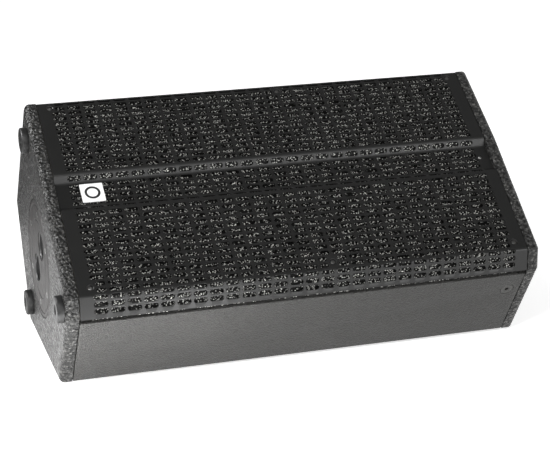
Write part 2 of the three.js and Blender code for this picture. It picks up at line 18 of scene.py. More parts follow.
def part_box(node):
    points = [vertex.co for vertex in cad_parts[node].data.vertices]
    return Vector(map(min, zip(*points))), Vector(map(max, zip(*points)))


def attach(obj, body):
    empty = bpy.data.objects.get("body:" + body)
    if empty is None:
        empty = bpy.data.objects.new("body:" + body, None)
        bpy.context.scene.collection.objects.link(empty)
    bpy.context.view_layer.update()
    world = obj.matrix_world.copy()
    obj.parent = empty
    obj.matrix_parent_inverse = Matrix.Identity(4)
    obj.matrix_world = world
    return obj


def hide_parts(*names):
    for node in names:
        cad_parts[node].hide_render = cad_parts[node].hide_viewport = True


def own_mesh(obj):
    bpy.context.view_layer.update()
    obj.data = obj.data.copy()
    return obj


bl_info = {
    "name": "Stage Monitor Wedge",
    "version": (1, 0, 0),
    "blender": (4, 5, 0),
    "location": "View3D > Sidebar > Wedge",
    "description": "Models a stage monitor wedge: boards, slotted grille, foam, feet and fittings",
    "category": "Object",
}

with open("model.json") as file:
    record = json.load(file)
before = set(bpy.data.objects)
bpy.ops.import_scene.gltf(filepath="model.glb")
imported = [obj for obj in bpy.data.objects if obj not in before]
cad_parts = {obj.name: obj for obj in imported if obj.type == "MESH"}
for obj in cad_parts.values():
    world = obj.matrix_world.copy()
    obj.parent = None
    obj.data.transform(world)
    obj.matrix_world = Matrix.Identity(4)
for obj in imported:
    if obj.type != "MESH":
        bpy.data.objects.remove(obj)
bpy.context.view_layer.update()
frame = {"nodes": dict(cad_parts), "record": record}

MM = 0.001

# ---------------------------------------------------------------- places on the cabinet

LENGTH = 680
END_THICK = 18
WALL = 15
GAP = 0.3
SEAM = 1.1
INNER_HALF = LENGTH / 2 - END_THICK
LEAN = math.radians(31.94)

TOP = Vector((176.7, 0))
RIDGE = Vector((40.5, 0))
BROW = Vector((-160, -16.4))
LIP = Vector((-177.6, -43.3))
TOE = Vector((-175.6, -184.6))
HEEL = Vector((27, -310.9))
BACK = Vector((183.6, -212.8))
OUTLINE = (TOP, RIDGE, BROW, LIP, TOE, HEEL, BACK)
FRONT_WALL_START = 8.4
HANDLE_WALL_START = 18

NEAR_SLOPE = (RIDGE.y - BROW.y) / (RIDGE.x - BROW.x)
TROUGH = {"depth": 10.2, "upper": 30.8, "lower": -12.7, "step": 6.3}
GRILLE_HALF = 320.6
GRILLE_RETURN = 14
# The foam is pressed thin where a block backs a middle screw. free and pressed say how far its
# front lies behind the grille's face, and how much is behind that, away from a block and over one.
FOAM = {
    "half": 303.6, "depth": 3.3, "bend": 2.5, "lip_back": 2.2, "lip_longer": 3, "top_longer": 3.2,
    "cell": 5.0, "relief": 0.9, "slack": 1.6, "screw_room": 6,
    "block": (11, 10.5), "free": (2.3, 5.5), "pressed": (1.9, 0.7),
}

SCREWS = {
    "far_base": (-304, 165.5),
    "far_middle": (33, 165.5),
    "far_top": (304, 165.5),
    "near_base": (-304, -146.2),
    "near_middle": (33, -146.2),
    "near_top": (304, -146.2),
}
RIVET = {"x": 306, "y": 10.3}
BADGE = {"x": -271.5, "y": 10.3, "size": 32, "thick": 2}

POLE = {"y": 4, "z": -134, "radius": 84, "hub": 74, "plate": 5, "bolts": 6, "bolt_circle": 66}
SOCKET = {"bore": 18.25, "wall": 2.2, "deep": 75}
SOCKETS = {
    "straight": (-1, -101, 0),
    "tilted": (7, -158.5, math.radians(5)),
}
END_FEET = ((134, -28), (23, -259), (-152, -47))
FLOOR_FOOT = {"x": 270, "near": 42, "far": 200}
HANDLE = {"y": 153, "wide": 160, "high": 76, "deep": 46, "wall": 3, "rim": 12, "grooves": 15}
CONNECTOR = {"y": 92, "wide": 150, "high": 104, "plate": 3, "cut_wide": 126, "cut_high": 80}
JACK = {"apart": 31, "bore": 12.2, "wall": 1.6, "post": 6, "deep": 24, "flange": 17}
ROLL = {"inner": 114, "centre": 125.8, "outer": 133, "bend": 6.2, "half_thick": 0.6, "steps": 10}
RIGGING = {"x": 302, "down": 42.3, "radius": 9.5, "deep": 9}


def cabinet_frame():
    """The cabinet's frame in the row's frame, set by the boxes of its two end panels."""
    turn = Matrix.Rotation(LEAN, 4, "X")
    turned_corners = [turn @ Vector((0, y * MM, z * MM)) for y, z in OUTLINE]
    base_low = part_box("end_panel_base")[0]
    top_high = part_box("end_panel_top")[1]
    origin = Vector((
        (base_low.x + top_high.x) / 2,
        base_low.y - min(corner.y for corner in turned_corners),
        base_low.z - min(corner.z for corner in turned_corners),
    ))
    return Matrix.Translation(origin) @ turn @ Matrix.Scale(MM, 4)


def wall_frame(start, end):
    """A wall's frame: y runs along the wall from start to end and z points out of it."""
    along = end - start
    turn = Matrix.Rotation(math.atan2(along.y, along.x), 4, "X")
    return CABINET @ Matrix.Translation((0, start.x, start.y)) @ turn


CABINET = cabinet_frame()
HANDLE_WALL = wall_frame(TOP, BACK)
REAR_WALL = wall_frame(BACK, HEEL)
FLOOR_WALL = wall_frame(HEEL, TOE)
FRONT_WALL = wall_frame(TOE, LIP)
FRONT_LONG = (LIP - TOE).length


def out_of_base(y, z):
    """A frame whose z points out of the base end, at a place on that end."""
    return CABINET @ Matrix.Translation((-LENGTH / 2, y, z)) @ Matrix.Rotation(-math.pi / 2, 4, "Y")


def front_height(y):
    """Height of the grille's main faces, leaving the trough out."""
    return min(y - RIDGE.x, 0) * NEAR_SLOPE


def on_front(x, y):
    """A frame standing on the grille's face, with z straight out of it."""
    slope = math.atan(NEAR_SLOPE) if y < RIDGE.x else 0
    return CABINET @ Matrix.Translation((x, y, front_height(y))) @ Matrix.Rotation(slope, 4, "X")


def screw_places():
    return {name: on_front(x, y) for name, (x, y) in SCREWS.items()}


def grille_corners():
    """The folds of the grille's outer face, from the lip's edge to the end of the return."""
    step_top = TROUGH["lower"] - TROUGH["step"]
    along = (BACK - TOP).normalized()
    return [
        LIP,
        BROW,
        Vector((step_top, front_height(step_top))),
        Vector((TROUGH["lower"], -TROUGH["depth"])),
        Vector((TROUGH["upper"], -TROUGH["depth"])),
        RIDGE,
        TOP,
        TOP + along * GRILLE_RETURN,
    ]


def inset(corners, distance):
    """Moves a folded line inwards, away from its outer face."""
    moved = []
    for i, corner in enumerate(corners):
        before = corners[i - 1] if i > 0 else corner * 2 - corners[i + 1]
        after = corners[i + 1] if i + 1 < len(corners) else corner * 2 - corners[i - 1]
        into = (corner - before).normalized()
        out = (after - corner).normalized()
        normal = Vector((into.y + out.y, -into.x - out.x)).normalized()
        moved.append(corner + normal * (distance / normal.dot(Vector((into.y, -into.x)))))
    return moved


class FoldedLine:
    """A folded line with rounded folds, and the point that any length along it reaches."""

    def __init__(self, corners, bend):
        self.corners = corners
        self.bend = bend
        self.reach = [0.0]
        for start, end in zip(corners, corners[1:]):
            self.reach.append(self.reach[-1] + (end - start).length)

    def straight(self, length):
        last = len(self.corners) - 2
        i = max((k for k in range(last + 1) if self.reach[k] <= length), default=0)
        start, end = self.corners[i], self.corners[i + 1]
        return start + (end - start).normalized() * (length - self.reach[i])

    def point(self, length):
        for reach, corner in list(zip(self.reach, self.corners))[1:-1]:
            if abs(length - reach) < self.bend:
                t = (length - reach + self.bend) / (2 * self.bend)
                start, end = self.straight(reach - self.bend), self.straight(reach + self.bend)
                return start * (1 - t) ** 2 + corner * 2 * t * (1 - t) + end * t ** 2
        return self.straight(length)

    def cuts(self):
        """The lengths at which a flat sheet is cut across so that its folds come out round."""
        shares = (-1, -0.5, 0, 0.5, 1)
        return [reach + share * self.bend for reach in self.reach[1:-1] for share in shares]


# ---------------------------------------------------------------- modelling helpers


def start(name, kind, **settings):
    """Adds a primitive with nothing else selected."""
    bpy.ops.object.select_all(action="DESELECT")
    getattr(bpy.ops.mesh, f"primitive_{kind}_add")(**settings)
    piece = bpy.context.object
    piece.name = name
    piece.data.name = name
    return piece


@contextmanager
def editing(piece, mode="FACE"):
    """Edit mode on one piece, with nothing selected in it."""
    bpy.ops.object.select_all(action="DESELECT")
    piece.select_set(True)
    bpy.context.view_layer.objects.active = piece
    bpy.ops.object.mode_set(mode="EDIT")
    bpy.ops.mesh.select_mode(type=mode)
    bpy.ops.mesh.select_all(action="DESELECT")
    yield
    bpy.ops.object.mode_set(mode="OBJECT")


def pick(piece, kind, test):
    """Selects the faces, edges or verts in edit mode that pass a test."""
    bpy.ops.mesh.select_all(action="DESELECT")
    sheet = bmesh.from_edit_mesh(piece.data)
    for part in getattr(sheet, kind):
        if test(part):
            part.select_set(True)
    bmesh.update_edit_mesh(piece.data)


def modify(piece, kind, **settings):
    """Adds a modifier and applies it."""
    bpy.ops.object.select_all(action="DESELECT")
    piece.select_set(True)
    bpy.context.view_layer.objects.active = piece
    modifier = piece.modifiers.new(kind.title(), kind)
    for name, value in settings.items():
        setattr(modifier, name, value)
    bpy.ops.object.modifier_apply(modifier=modifier.name)


def place(piece, matrix):
    """Moves a piece's mesh, and leaves its object at the origin."""
    piece.data.transform(matrix)
    return piece


def join(piece, *others):
    """Joins other pieces into one."""
    bpy.ops.object.select_all(action="DESELECT")
    for other in (piece, *others):
        other.select_set(True)
    bpy.context.view_layer.objects.active = piece
    bpy.ops.object.join()
    return piece


def combine(piece, operation, *tools):
    """Cuts tools out of a piece, or fuses them with it, and removes them."""
    tool = join(*tools) if len(tools) > 1 else tools[0]
    modify(piece, "BOOLEAN", operation=operation, object=tool, solver="EXACT")
    bpy.data.objects.remove(tool)
    return piece


def ease(piece, width, segments=2, angle=35):
    """Rounds a piece's sharp edges a little, as paint and tooling leave them."""
    modify(
        piece, "BEVEL", width=width, segments=segments, limit_method="ANGLE",
        angle_limit=math.radians(angle), miter_outer="MITER_ARC",
    )
    return piece


def copy_of(piece, name):
    """A copy with its own mesh."""
    twin = piece.copy()
    twin.data = piece.data.copy()
    twin.name = name
    twin.data.name = name
    bpy.context.scene.collection.objects.link(twin)
    return twin


def turned(name, profile, segments=64):
    """Spins a closed (radius, z) profile about the z axis. Points on the axis close the piece."""
    piece = start(name, "circle", vertices=len(profile))
    for vertex, (radius, z) in zip(piece.data.vertices, profile):
        vertex.co = (radius, 0, z)
    with editing(piece, "EDGE"):
        pick(piece, "edges", lambda e: all(abs(v.co.x) < 1e-6 for v in e.verts))
        bpy.ops.mesh.delete(type="EDGE_FACE")
        bpy.ops.mesh.select_all(action="SELECT")
        bpy.ops.mesh.spin(steps=segments, angle=math.tau, center=(0, 0, 0), axis=(0, 0, 1))
        bpy.ops.mesh.select_all(action="SELECT")
        bpy.ops.mesh.remove_doubles(threshold=1e-4)
        bpy.ops.mesh.normals_make_consistent(inside=False)
    return piece


def drawn_out(name, outline, from_x, to_x):
    """A (y, z) outline drawn out along x."""
    piece = start(name, "circle", vertices=len(outline), fill_type="NGON")
    for vertex, (y, z) in zip(piece.data.vertices, outline):
        vertex.co = (from_x, y, z)
    with editing(piece):
        bpy.ops.mesh.select_all(action="SELECT")
        bpy.ops.mesh.extrude_region_move(TRANSFORM_OT_translate={"value": (to_x - from_x, 0, 0)})
        bpy.ops.mesh.select_all(action="SELECT")
        bpy.ops.mesh.normals_make_consistent(inside=False)
    return piece


def block(name, size, centre, corner=0.0, segments=6):
    """A box whose four upright edges are rounded to a radius."""
    piece = start(name, "cube", size=1)
    place(piece, Matrix.Translation(centre) @ Matrix.Diagonal((*size, 1)))
    if corner > 0:
        with editing(piece, "EDGE"):
            pick(piece, "edges", lambda e: abs(e.verts[0].co.z - e.verts[1].co.z) > 1e-4)
            bpy.ops.mesh.bevel(offset=corner, segments=segments, affect="EDGES")
    return piece


def rod(name, radius, from_z, to_z, sides=64, at=(0, 0)):
    """A plain round tool for cutting or fusing."""
    piece = start(name, "cylinder", vertices=sides, radius=radius, depth=to_z - from_z)
    return place(piece, Matrix.Translation((*at, (from_z + to_z) / 2)))


def finished(piece, finish, stands_for=(), body="root", smooth=32):
    """Smooths a piece, gives it its finish, and ties it to the frame."""
    bpy.ops.object.select_all(action="DESELECT")
    piece.select_set(True)
    bpy.context.view_layer.objects.active = piece
    bpy.ops.object.shade_smooth_by_angle(angle=math.radians(smooth))
    piece.data.materials.clear()
    piece.data.materials.append(FINISHES[finish])
    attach(piece, body)
    if stands_for:
        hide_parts(*stands_for)
    return piece


def copies(pattern, places, finish, node=None):
    """Puts a finished copy of a pattern at each named place, and leaves no pattern."""
    for name, there in places.items():
        twin = place(copy_of(pattern, f"{pattern.name}_{name}"), there)
        finished(twin, finish, [f"{node}_{name}"] if node else ())
    bpy.data.objects.remove(pattern)


# ---------------------------------------------------------------- finishes

FINISHES = {}


class Recipe:
    """Builds one finish from its own shader nodes, on Object coordinates."""

    def __init__(self, name, stretch=(1, 1, 1)):
        self.material = bpy.data.materials.new(name)
        self.material.use_nodes = True
        self.tree = self.material.node_tree
        self.shader = self.tree.nodes["Principled BSDF"]
        self.normal = None
        coordinates = self.tree.nodes.new("ShaderNodeTexCoord")
        mapping = self.tree.nodes.new("ShaderNodeMapping")
        mapping.inputs["Scale"].default_value = stretch
        self.link(coordinates.outputs["Object"], mapping.inputs["Vector"])
        self.where = mapping.outputs["Vector"]
        FINISHES[name] = self.material

    def link(self, output, target):
        self.tree.links.new(output, target)

    def noise(self, size, detail=2.0, roughness=0.5):
        """Cloudy pattern whose lumps are about size metres across."""
        node = self.tree.nodes.new("ShaderNodeTexNoise")
        node.inputs["Scale"].default_value = 0.5 / size
        node.inputs["Detail"].default_value = detail
        node.inputs["Roughness"].default_value = roughness
        self.link(self.where, node.inputs["Vector"])
        return node.outputs["Fac"]

    def cells(self, size, feature="F1", smooth=0.0):
        """Cell pattern whose cells are about size metres across."""
        node = self.tree.nodes.new("ShaderNodeTexVoronoi")
        node.feature = feature
        node.inputs["Scale"].default_value = 1 / size
        if feature == "SMOOTH_F1":
            node.inputs["Smoothness"].default_value = smooth
        self.link(self.where, node.inputs["Vector"])
        return node.outputs["Distance"]

    def bands(self, size, direction="X", distortion=0.0):
        """Even stripes, size metres apart."""
        node = self.tree.nodes.new("ShaderNodeTexWave")
        node.bands_direction = direction
        node.inputs["Scale"].default_value = math.pi / 10 / size
        node.inputs["Distortion"].default_value = distortion
        self.link(self.where, node.inputs["Vector"])
        return node.outputs["Fac"]

    def ranged(self, value, low, high, from_low=0.0, from_high=1.0):
        """A pattern stretched to run from low to high."""
        node = self.tree.nodes.new("ShaderNodeMapRange")
        node.inputs["From Min"].default_value = from_low
        node.inputs["From Max"].default_value = from_high
        node.inputs["To Min"].default_value = low
        node.inputs["To Max"].default_value = high
        self.link(value, node.inputs["Value"])
        return node.outputs["Result"]

    def blend(self, share, first, second):
        """Mixes two colours or colour outputs by a pattern."""
        node = self.tree.nodes.new("ShaderNodeMix")
        node.data_type = "RGBA"
        self.link(share, node.inputs[0])
        for socket, colour in ((node.inputs[6], first), (node.inputs[7], second)):
            if isinstance(colour, bpy.types.NodeSocket):
                self.link(colour, socket)
            else:
                socket.default_value = (*colour[:3], 1)
        return node.outputs[2]

    def times(self, first, second):
        """Two patterns multiplied."""
        node = self.tree.nodes.new("ShaderNodeMath")
        node.operation = "MULTIPLY"
        self.link(first, node.inputs[0])
        self.link(second, node.inputs[1])
        return node.outputs["Value"]

    def colour(self, output):
        self.link(output, self.shader.inputs["Base Color"])

    def rough(self, output):
        self.link(output, self.shader.inputs["Roughness"])

    def bump(self, height, depth):
        """Adds relief of depth metres. A depth below 0 turns the pattern's peaks into hollows."""
        node = self.tree.nodes.new("ShaderNodeBump")
        node.invert = depth < 0
        node.inputs["Strength"].default_value = 1
        node.inputs["Distance"].default_value = abs(depth)
        self.link(height, node.inputs["Height"])
        if self.normal is not None:
            self.link(self.normal, node.inputs["Normal"])
        self.normal = node.outputs["Normal"]
        self.link(self.normal, self.shader.inputs["Normal"])

    def set(self, **values):
        """Sets values that are the same all over."""
        for name, value in values.items():
            self.shader.inputs[name.replace("_", " ")].default_value = value


WHITE = (1, 1, 1)


def shade(colour, factor):
    return tuple(channel * factor for channel in colour[:3])


def shades(colour, dark, light):
    return shade(colour, dark), shade(colour, light)


def cloudy(name, colours, patches, roughness, gloss, *reliefs, **even):
    """Makes a finish whose colour and gloss drift in soft patches, with fine relief over it.

    patches and gloss are the size and detail of a cloudy pattern, and a relief adds its depth.
    """
    recipe = Recipe(name)
    recipe.colour(recipe.blend(recipe.noise(*patches), *colours))
    recipe.rough(recipe.ranged(recipe.noise(*gloss), *roughness))
    for size, detail, depth in reliefs:
        recipe.bump(recipe.noise(size, detail), depth)
    recipe.set(**even)


def make_finishes(tones):
    """Every finish on the wedge."""
    coarse = Recipe("coarse_paint")
    pebbles = coarse.cells(0.0046, "SMOOTH_F1", 0.4)
    grit = coarse.noise(0.0026, 3.0, 0.6)
    # Painted highlights: light flecks on the pebbles stand in for their glints, and the paint
    # between them is darkened to stand in for shade in the pits.
    painted_glints = coarse.times(
        coarse.ranged(coarse.cells(0.0042), 1, 0, 0.12, 0.6), coarse.ranged(grit, 0, 1, 0.4, 0.56))
    coarse.colour(coarse.blend(painted_glints, shade(tones.paint, 0.12), shade(tones.paint, 1.7)))
    coarse.rough(coarse.ranged(grit, 0.5, 0.24, 0.35, 0.65))
    coarse.bump(pebbles, -0.0034)
    coarse.bump(grit, 0.0026)
    coarse.set(Specular_IOR_Level=0.3)

    fine = Recipe("fine_paint")
    leather = fine.cells(0.0022, "SMOOTH_F1", 0.8)
    dust = fine.noise(0.0012, 3.0)
    drift = fine.blend(fine.noise(0.05, 4.0), shade(tones.paint, 0.5), shade(tones.paint, 0.8))
    fine.colour(fine.blend(fine.ranged(dust, 0, 1, 0.3, 0.7), shade(tones.paint, 0.2), drift))
    fine.rough(fine.ranged(dust, 0.42, 0.62))
    fine.bump(leather, -0.0018)
    fine.bump(dust, 0.0015)
    fine.set(Specular_IOR_Level=0.35)

    foam = Recipe("open_foam")
    clumps = foam.noise(0.0022, 3.0, 0.6)
    # Painted highlights: bright specks on the foam's strands stand in for glints, and the foam
    # between them is darkened as painted shade in its pores.
    painted_sparkle = foam.times(
        foam.ranged(foam.cells(0.0027), 1, 0, 0.16, 0.44), foam.ranged(clumps, 0.4, 1, 0.36, 0.58))
    foam.colour(foam.blend(painted_sparkle, shade(tones.foam, 0.05), shade(tones.foam, 24)))
    foam.rough(foam.ranged(clumps, 0.6, 0.4, 0.3, 0.7))
    foam.bump(painted_sparkle, 0.0022)
    foam.set(Specular_IOR_Level=0.1)

    wood = Recipe("plywood", stretch=(0.12, 1, 1))
    rings = wood.noise(0.003, 5.0, 0.6)
    wood.colour(wood.blend(rings, (0.012, 0.011, 0.010), (0.042, 0.037, 0.032)))
    wood.rough(wood.ranged(rings, 0.6, 0.85))
    wood.bump(rings, 0.0003)

    copper = Recipe("copper_wire")
    turns = copper.bands(0.0009, "Z", 0.2)
    copper.colour(copper.blend(turns, (0.30, 0.11, 0.045), (0.62, 0.27, 0.12)))
    copper.rough(copper.ranged(copper.noise(0.002, 3.0), 0.22, 0.4))
    copper.bump(turns, 0.0004)
    copper.set(Metallic=0.9)

    paper = Recipe("cone_paper")
    fibres = paper.noise(0.0016, 6.0, 0.7)
    paper.colour(paper.blend(fibres, (0.012, 0.012, 0.012), (0.035, 0.034, 0.033)))
    paper.rough(paper.ranged(fibres, 0.7, 0.95))
    paper.bump(fibres, 0.0004)

    cloth = Recipe("treated_cloth")
    weave = cloth.times(cloth.bands(0.0008, "X", 0.3), cloth.bands(0.0008, "Y", 0.3))
    cloth.colour(cloth.blend(weave, (0.09, 0.055, 0.024), (0.26, 0.16, 0.07)))
    cloth.rough(cloth.ranged(weave, 0.6, 0.85))
    cloth.bump(weave, 0.0003)

    dome = Recipe("diaphragm_metal")
    dome.colour(dome.blend(dome.noise(0.004, 4.0), (0.50, 0.51, 0.52), (0.62, 0.63, 0.64)))
    dome.rough(dome.ranged(dome.noise(0.002, 3.0), 0.2, 0.35))
    dome.bump(dome.cells(0.002), 0.0001)
    dome.set(Metallic=1.0)

    board = Recipe("circuit_board")
    tracks = board.cells(0.006, "DISTANCE_TO_EDGE")
    board.colour(board.blend(
        board.ranged(tracks, 0, 1, 0.03, 0.05), (0.10, 0.24, 0.10), (0.02, 0.09, 0.035)))
    board.rough(board.ranged(board.noise(0.003, 3.0), 0.35, 0.55))
    board.bump(board.ranged(tracks, 1, 0, 0.03, 0.06), 0.0001)

    stage = Recipe("studio_floor")
    stage.colour(stage.blend(stage.noise(0.6, 3.0), shade(tones.floor, 0.985), tones.floor))
    stage.rough(stage.ranged(stage.noise(0.2, 3.0), 0.75, 0.9))
    stage.set(Emission_Color=(1, 1, 1, 1), Emission_Strength=0.6)

    card = Recipe("dark_card")
    card.colour(card.blend(card.noise(0.1), *shades(WHITE, 0.01, 0.02)))
    card.set(Roughness=1.0, Specular_IOR_Level=0.0)

    cloudy(
        "sheet_coating", shades(tones.grille, 0.85, 1.2), (0.04, 4.0), (0.3, 0.42), (0.02, 4.0),
        (0.0007, 2.0, 0.00006), Specular_IOR_Level=0.32)
    cloudy(
        "badge_enamel", shades(tones.badge, 0.97, 1.0), (0.01, 3.0), (0.28, 0.4), (0.004, 2.0),
        (0.002, 2.0, 0.00003))
    cloudy(
        "badge_ring_enamel", shades(WHITE, 0.012, 0.02), (0.006, 3.0), (0.3, 0.45), (0.003, 2.0))
    cloudy(
        "rubber", shades(tones.rubber, 0.8, 1.25), (0.006, 4.0), (0.38, 0.6), (0.004, 4.0),
        (0.0008, 3.0, 0.0002), Specular_IOR_Level=0.35)
    cloudy(
        "moulded_plastic", shades(tones.plastic, 0.85, 1.15), (0.03, 4.0), (0.4, 0.65),
        (0.006, 4.0), (0.005, 3.0, 0.0012), (0.0009, 2.0, 0.00015), Specular_IOR_Level=0.35)
    cloudy(
        "black_steel", shades(WHITE, 0.014, 0.03), (0.02, 4.0), (0.36, 0.52), (0.005, 4.0),
        (0.0008, 2.0, 0.00008), Metallic=0.3)
    cloudy(
        "dark_screw", ((0.10, 0.10, 0.10), (0.30, 0.30, 0.29)), (0.002, 4.0), (0.25, 0.42),
        (0.001, 3.0), (0.0006, 2.0, 0.00004), Metallic=1.0)
    cloudy(
        "plug_paint", shades(tones.paint, 0.4, 0.7), (0.006, 4.0), (0.5, 0.7), (0.002, 3.0),
        (0.001, 2.0, 0.0002))
    cloudy(
        "zinc_steel", ((0.30, 0.31, 0.32), (0.52, 0.53, 0.54)), (0.004, 5.0), (0.24, 0.44),
        (0.002, 4.0), (0.0008, 3.0, 0.00005), Metallic=1.0)
    cloudy(
        "ferrite", ((0.035, 0.036, 0.04), (0.075, 0.077, 0.08)), (0.002, 4.0), (0.5, 0.8),
        (0.004, 3.0), (0.001, 3.0, 0.0002))
    cloudy(
        "cable_jacket", shades(WHITE, 0.012, 0.03), (0.004, 3.0), (0.4, 0.6), (0.003, 3.0),
        (0.0012, 2.0, 0.00015))


# The finish of each CAD node that stays, by its slot in the record.
SLOT_FINISH = {
    "textured_paint": "coarse_paint",
    "textured_paint_fine": "fine_paint",
    "grille_coating": "sheet_coating",
    "acoustic_foam": "open_foam",
    "badge_enamel": "badge_enamel",
    "stained_plywood": "plywood",
    "dark_screw": "dark_screw",
    "foot_rubber": "rubber",
    "zinc_steel": "zinc_steel",
    "moulded_plastic": "moulded_plastic",
    "black_steel": "black_steel",
    "ferrite": "ferrite",
    "copper_wire": "copper_wire",
    "cone_paper": "cone_paper",
    "treated_cloth": "treated_cloth",
    "diaphragm_metal": "diaphragm_metal",
    "circuit_board": "circuit_board",
    "cable_jacket": "cable_jacket",
}

# ---------------------------------------------------------------- settings


class WedgeSizes(bpy.types.PropertyGroup):
    """Sizes that a user may change."""

    edge_round: FloatProperty(
        name="End panel rounding", description="Radius of the end panels' outer edges",
        default=0.008, min=0.001, max=0.012, unit="LENGTH")
    board_ease: FloatProperty(
        name="Board edge easing", description="Rounding of the wall boards' edges",
        default=0.0009, min=0.0001, max=0.003, unit="LENGTH")
    slot_long: FloatProperty(
        name="Slot length", description="Length of each slot in the grille",
        default=0.0195, min=0.012, max=0.0215, unit="LENGTH")
    slot_high: FloatProperty(
        name="Slot height", description="Height of each slot in the grille",
        default=0.0075, min=0.004, max=0.009, unit="LENGTH")
    slot_pitch: FloatProperty(
        name="Slot pitch", description="Distance between neighbouring slots in a row",
        default=0.0225, min=0.022, max=0.024, unit="LENGTH")
    slot_columns: IntProperty(
        name="Slots in a row", description="Number of slots in each row", default=27, min=3, max=27)
    sheet_thick: FloatProperty(
        name="Grille thickness", description="Thickness of the folded steel sheet",
        default=0.0015, min=0.0005, max=0.0017, unit="LENGTH")
    fold_bend: FloatProperty(
        name="Fold rounding", description="How far each fold's rounding reaches from the fold",
        default=0.0028, min=0.0005, max=0.003, unit="LENGTH")
    foam_thick: FloatProperty(
        name="Foam thickness", description="Thickness of the foam behind the grille",
        default=0.006, min=0.002, max=0.008, unit="LENGTH")
    foam_step: FloatProperty(
        name="Foam mesh step", description="Distance between the foam surface's points",
        default=0.0022, min=0.0015, max=0.01, unit="LENGTH")


class WedgeTones(bpy.types.PropertyGroup):
    """Colours that a user may change."""

    paint: FloatVectorProperty(
        name="Paint", description="Textured paint on the boards",
        subtype="COLOR", default=(0.056, 0.055, 0.052), min=0, max=1)
    grille: FloatVectorProperty(
        name="Grille coating", description="Powder coat on the steel grille",
        subtype="COLOR", default=(0.0095, 0.0095, 0.0092), min=0, max=1)
    foam: FloatVectorProperty(
        name="Foam", description="Foam behind the grille",
        subtype="COLOR", default=(0.036, 0.036, 0.034), min=0, max=1)
    badge: FloatVectorProperty(
        name="Badge", description="Enamel of the badge plate",
        subtype="COLOR", default=(0.86, 0.86, 0.86), min=0, max=1)
    rubber: FloatVectorProperty(
        name="Rubber", description="Rubber of the feet",
        subtype="COLOR", default=(0.007, 0.007, 0.0068), min=0, max=1)
    plastic: FloatVectorProperty(
        name="Plastic", description="Moulded plastic fittings",
        subtype="COLOR", default=(0.010, 0.0085, 0.0078), min=0, max=1)
    floor: FloatVectorProperty(
        name="Floor", description="Studio floor",
        subtype="COLOR", default=(0.92, 0.92, 0.92), min=0, max=1)


class WedgeStudio(bpy.types.PropertyGroup):
    """The camera and the light."""

    camera_place: FloatVectorProperty(
        name="Camera place", description="Where the camera stands",
        subtype="TRANSLATION", unit="LENGTH", default=(-0.679, -2.2027, 0.944))
    camera_pitch: FloatProperty(
        name="Camera pitch", description="Angle between the camera's view and straight down",
        default=math.radians(71.22), subtype="ANGLE")
    camera_turn: FloatProperty(
        name="Camera turn", description="Turn of the camera about the vertical",
        default=math.radians(-17.45), subtype="ANGLE")
    camera_lens: FloatProperty(
        name="Camera lens", description="Focal length on a 36 mm sensor",
        default=108.85, min=20, max=400, unit="CAMERA")
    front_light: FloatProperty(
        name="Front light", description="Power of the low light in front", default=36, unit="POWER")
    side_light: FloatProperty(
        name="Side light", description="Power of the low light beside the base end",
        default=0.42, unit="POWER")
    low_light: FloatProperty(
        name="Low light", description="Power of the low light in front of the base end",
        default=2.6, unit="POWER")
    edge_light: FloatProperty(
        name="Edge light", description="Power of the light that shines on the base end's edge",
        default=20, unit="POWER")
    key_light: FloatProperty(
        name="Key light", description="Power of the high light in front", default=70, unit="POWER")
    sky: FloatProperty(
        name="Sky", description="Brightness of the studio's white surroundings", default=1.25)


# ---------------------------------------------------------------- boards


class WEDGE_OT_finishes(bpy.types.Operator):
    """Makes the finishes and gives each CAD node its own"""

    bl_idname = "wedge.finishes"
    bl_label = "Finishes"

    def execute(self, context):
        make_finishes(context.scene.wedge_tones)
        for part in frame["record"]["subparts"]:
            node = frame["nodes"][part["node"]]
            node.data.materials.clear()
            node.data.materials.append(FINISHES[SLOT_FINISH[part["material_slot"]]])
        return {"FINISHED"}


class WEDGE_OT_end_boards(bpy.types.Operator):
    """Models the two end panels with their rounded outer edges"""

    bl_idname = "wedge.end_boards"
    bl_label = "End panels"

    def execute(self, context):
        rounding = context.scene.wedge_sizes.edge_round / MM
        for name, side in (("base", -1), ("top", 1)):
            inner, outer = side * INNER_HALF, side * LENGTH / 2
            board = drawn_out(f"end_board_{name}", OUTLINE, inner, outer)
            with editing(board, "EDGE"):
                pick(board, "edges", lambda e: all(abs(v.co.x - outer) < 0.01 for v in e.verts))
                bpy.ops.mesh.bevel(offset=rounding, segments=7, affect="EDGES")
                pick(board, "edges", lambda e: all(abs(v.co.x - inner) < 0.01 for v in e.verts))
                bpy.ops.mesh.bevel(offset=0.7, segments=2, affect="EDGES")
            if name == "base":
                self.bore(board)
            finished(place(board, CABINET), "coarse_paint", [f"end_panel_{name}"])
        return {"FINISHED"}

    @staticmethod
    def bore(board):
        """Bores the base end panel for the pole mount."""
        facing = Matrix.Translation((-LENGTH / 2, POLE["y"], POLE["z"])) @ Matrix.Rotation(
            -math.pi / 2, 4, "Y")
        recess = rod("recess", POLE["radius"] + SEAM, -POLE["plate"] - GAP, 3, 128)
        through = rod("through", POLE["hub"], -END_THICK - 2, 0, 96)
        combine(board, "DIFFERENCE", place(recess, facing))
        combine(board, "DIFFERENCE", place(through, facing))


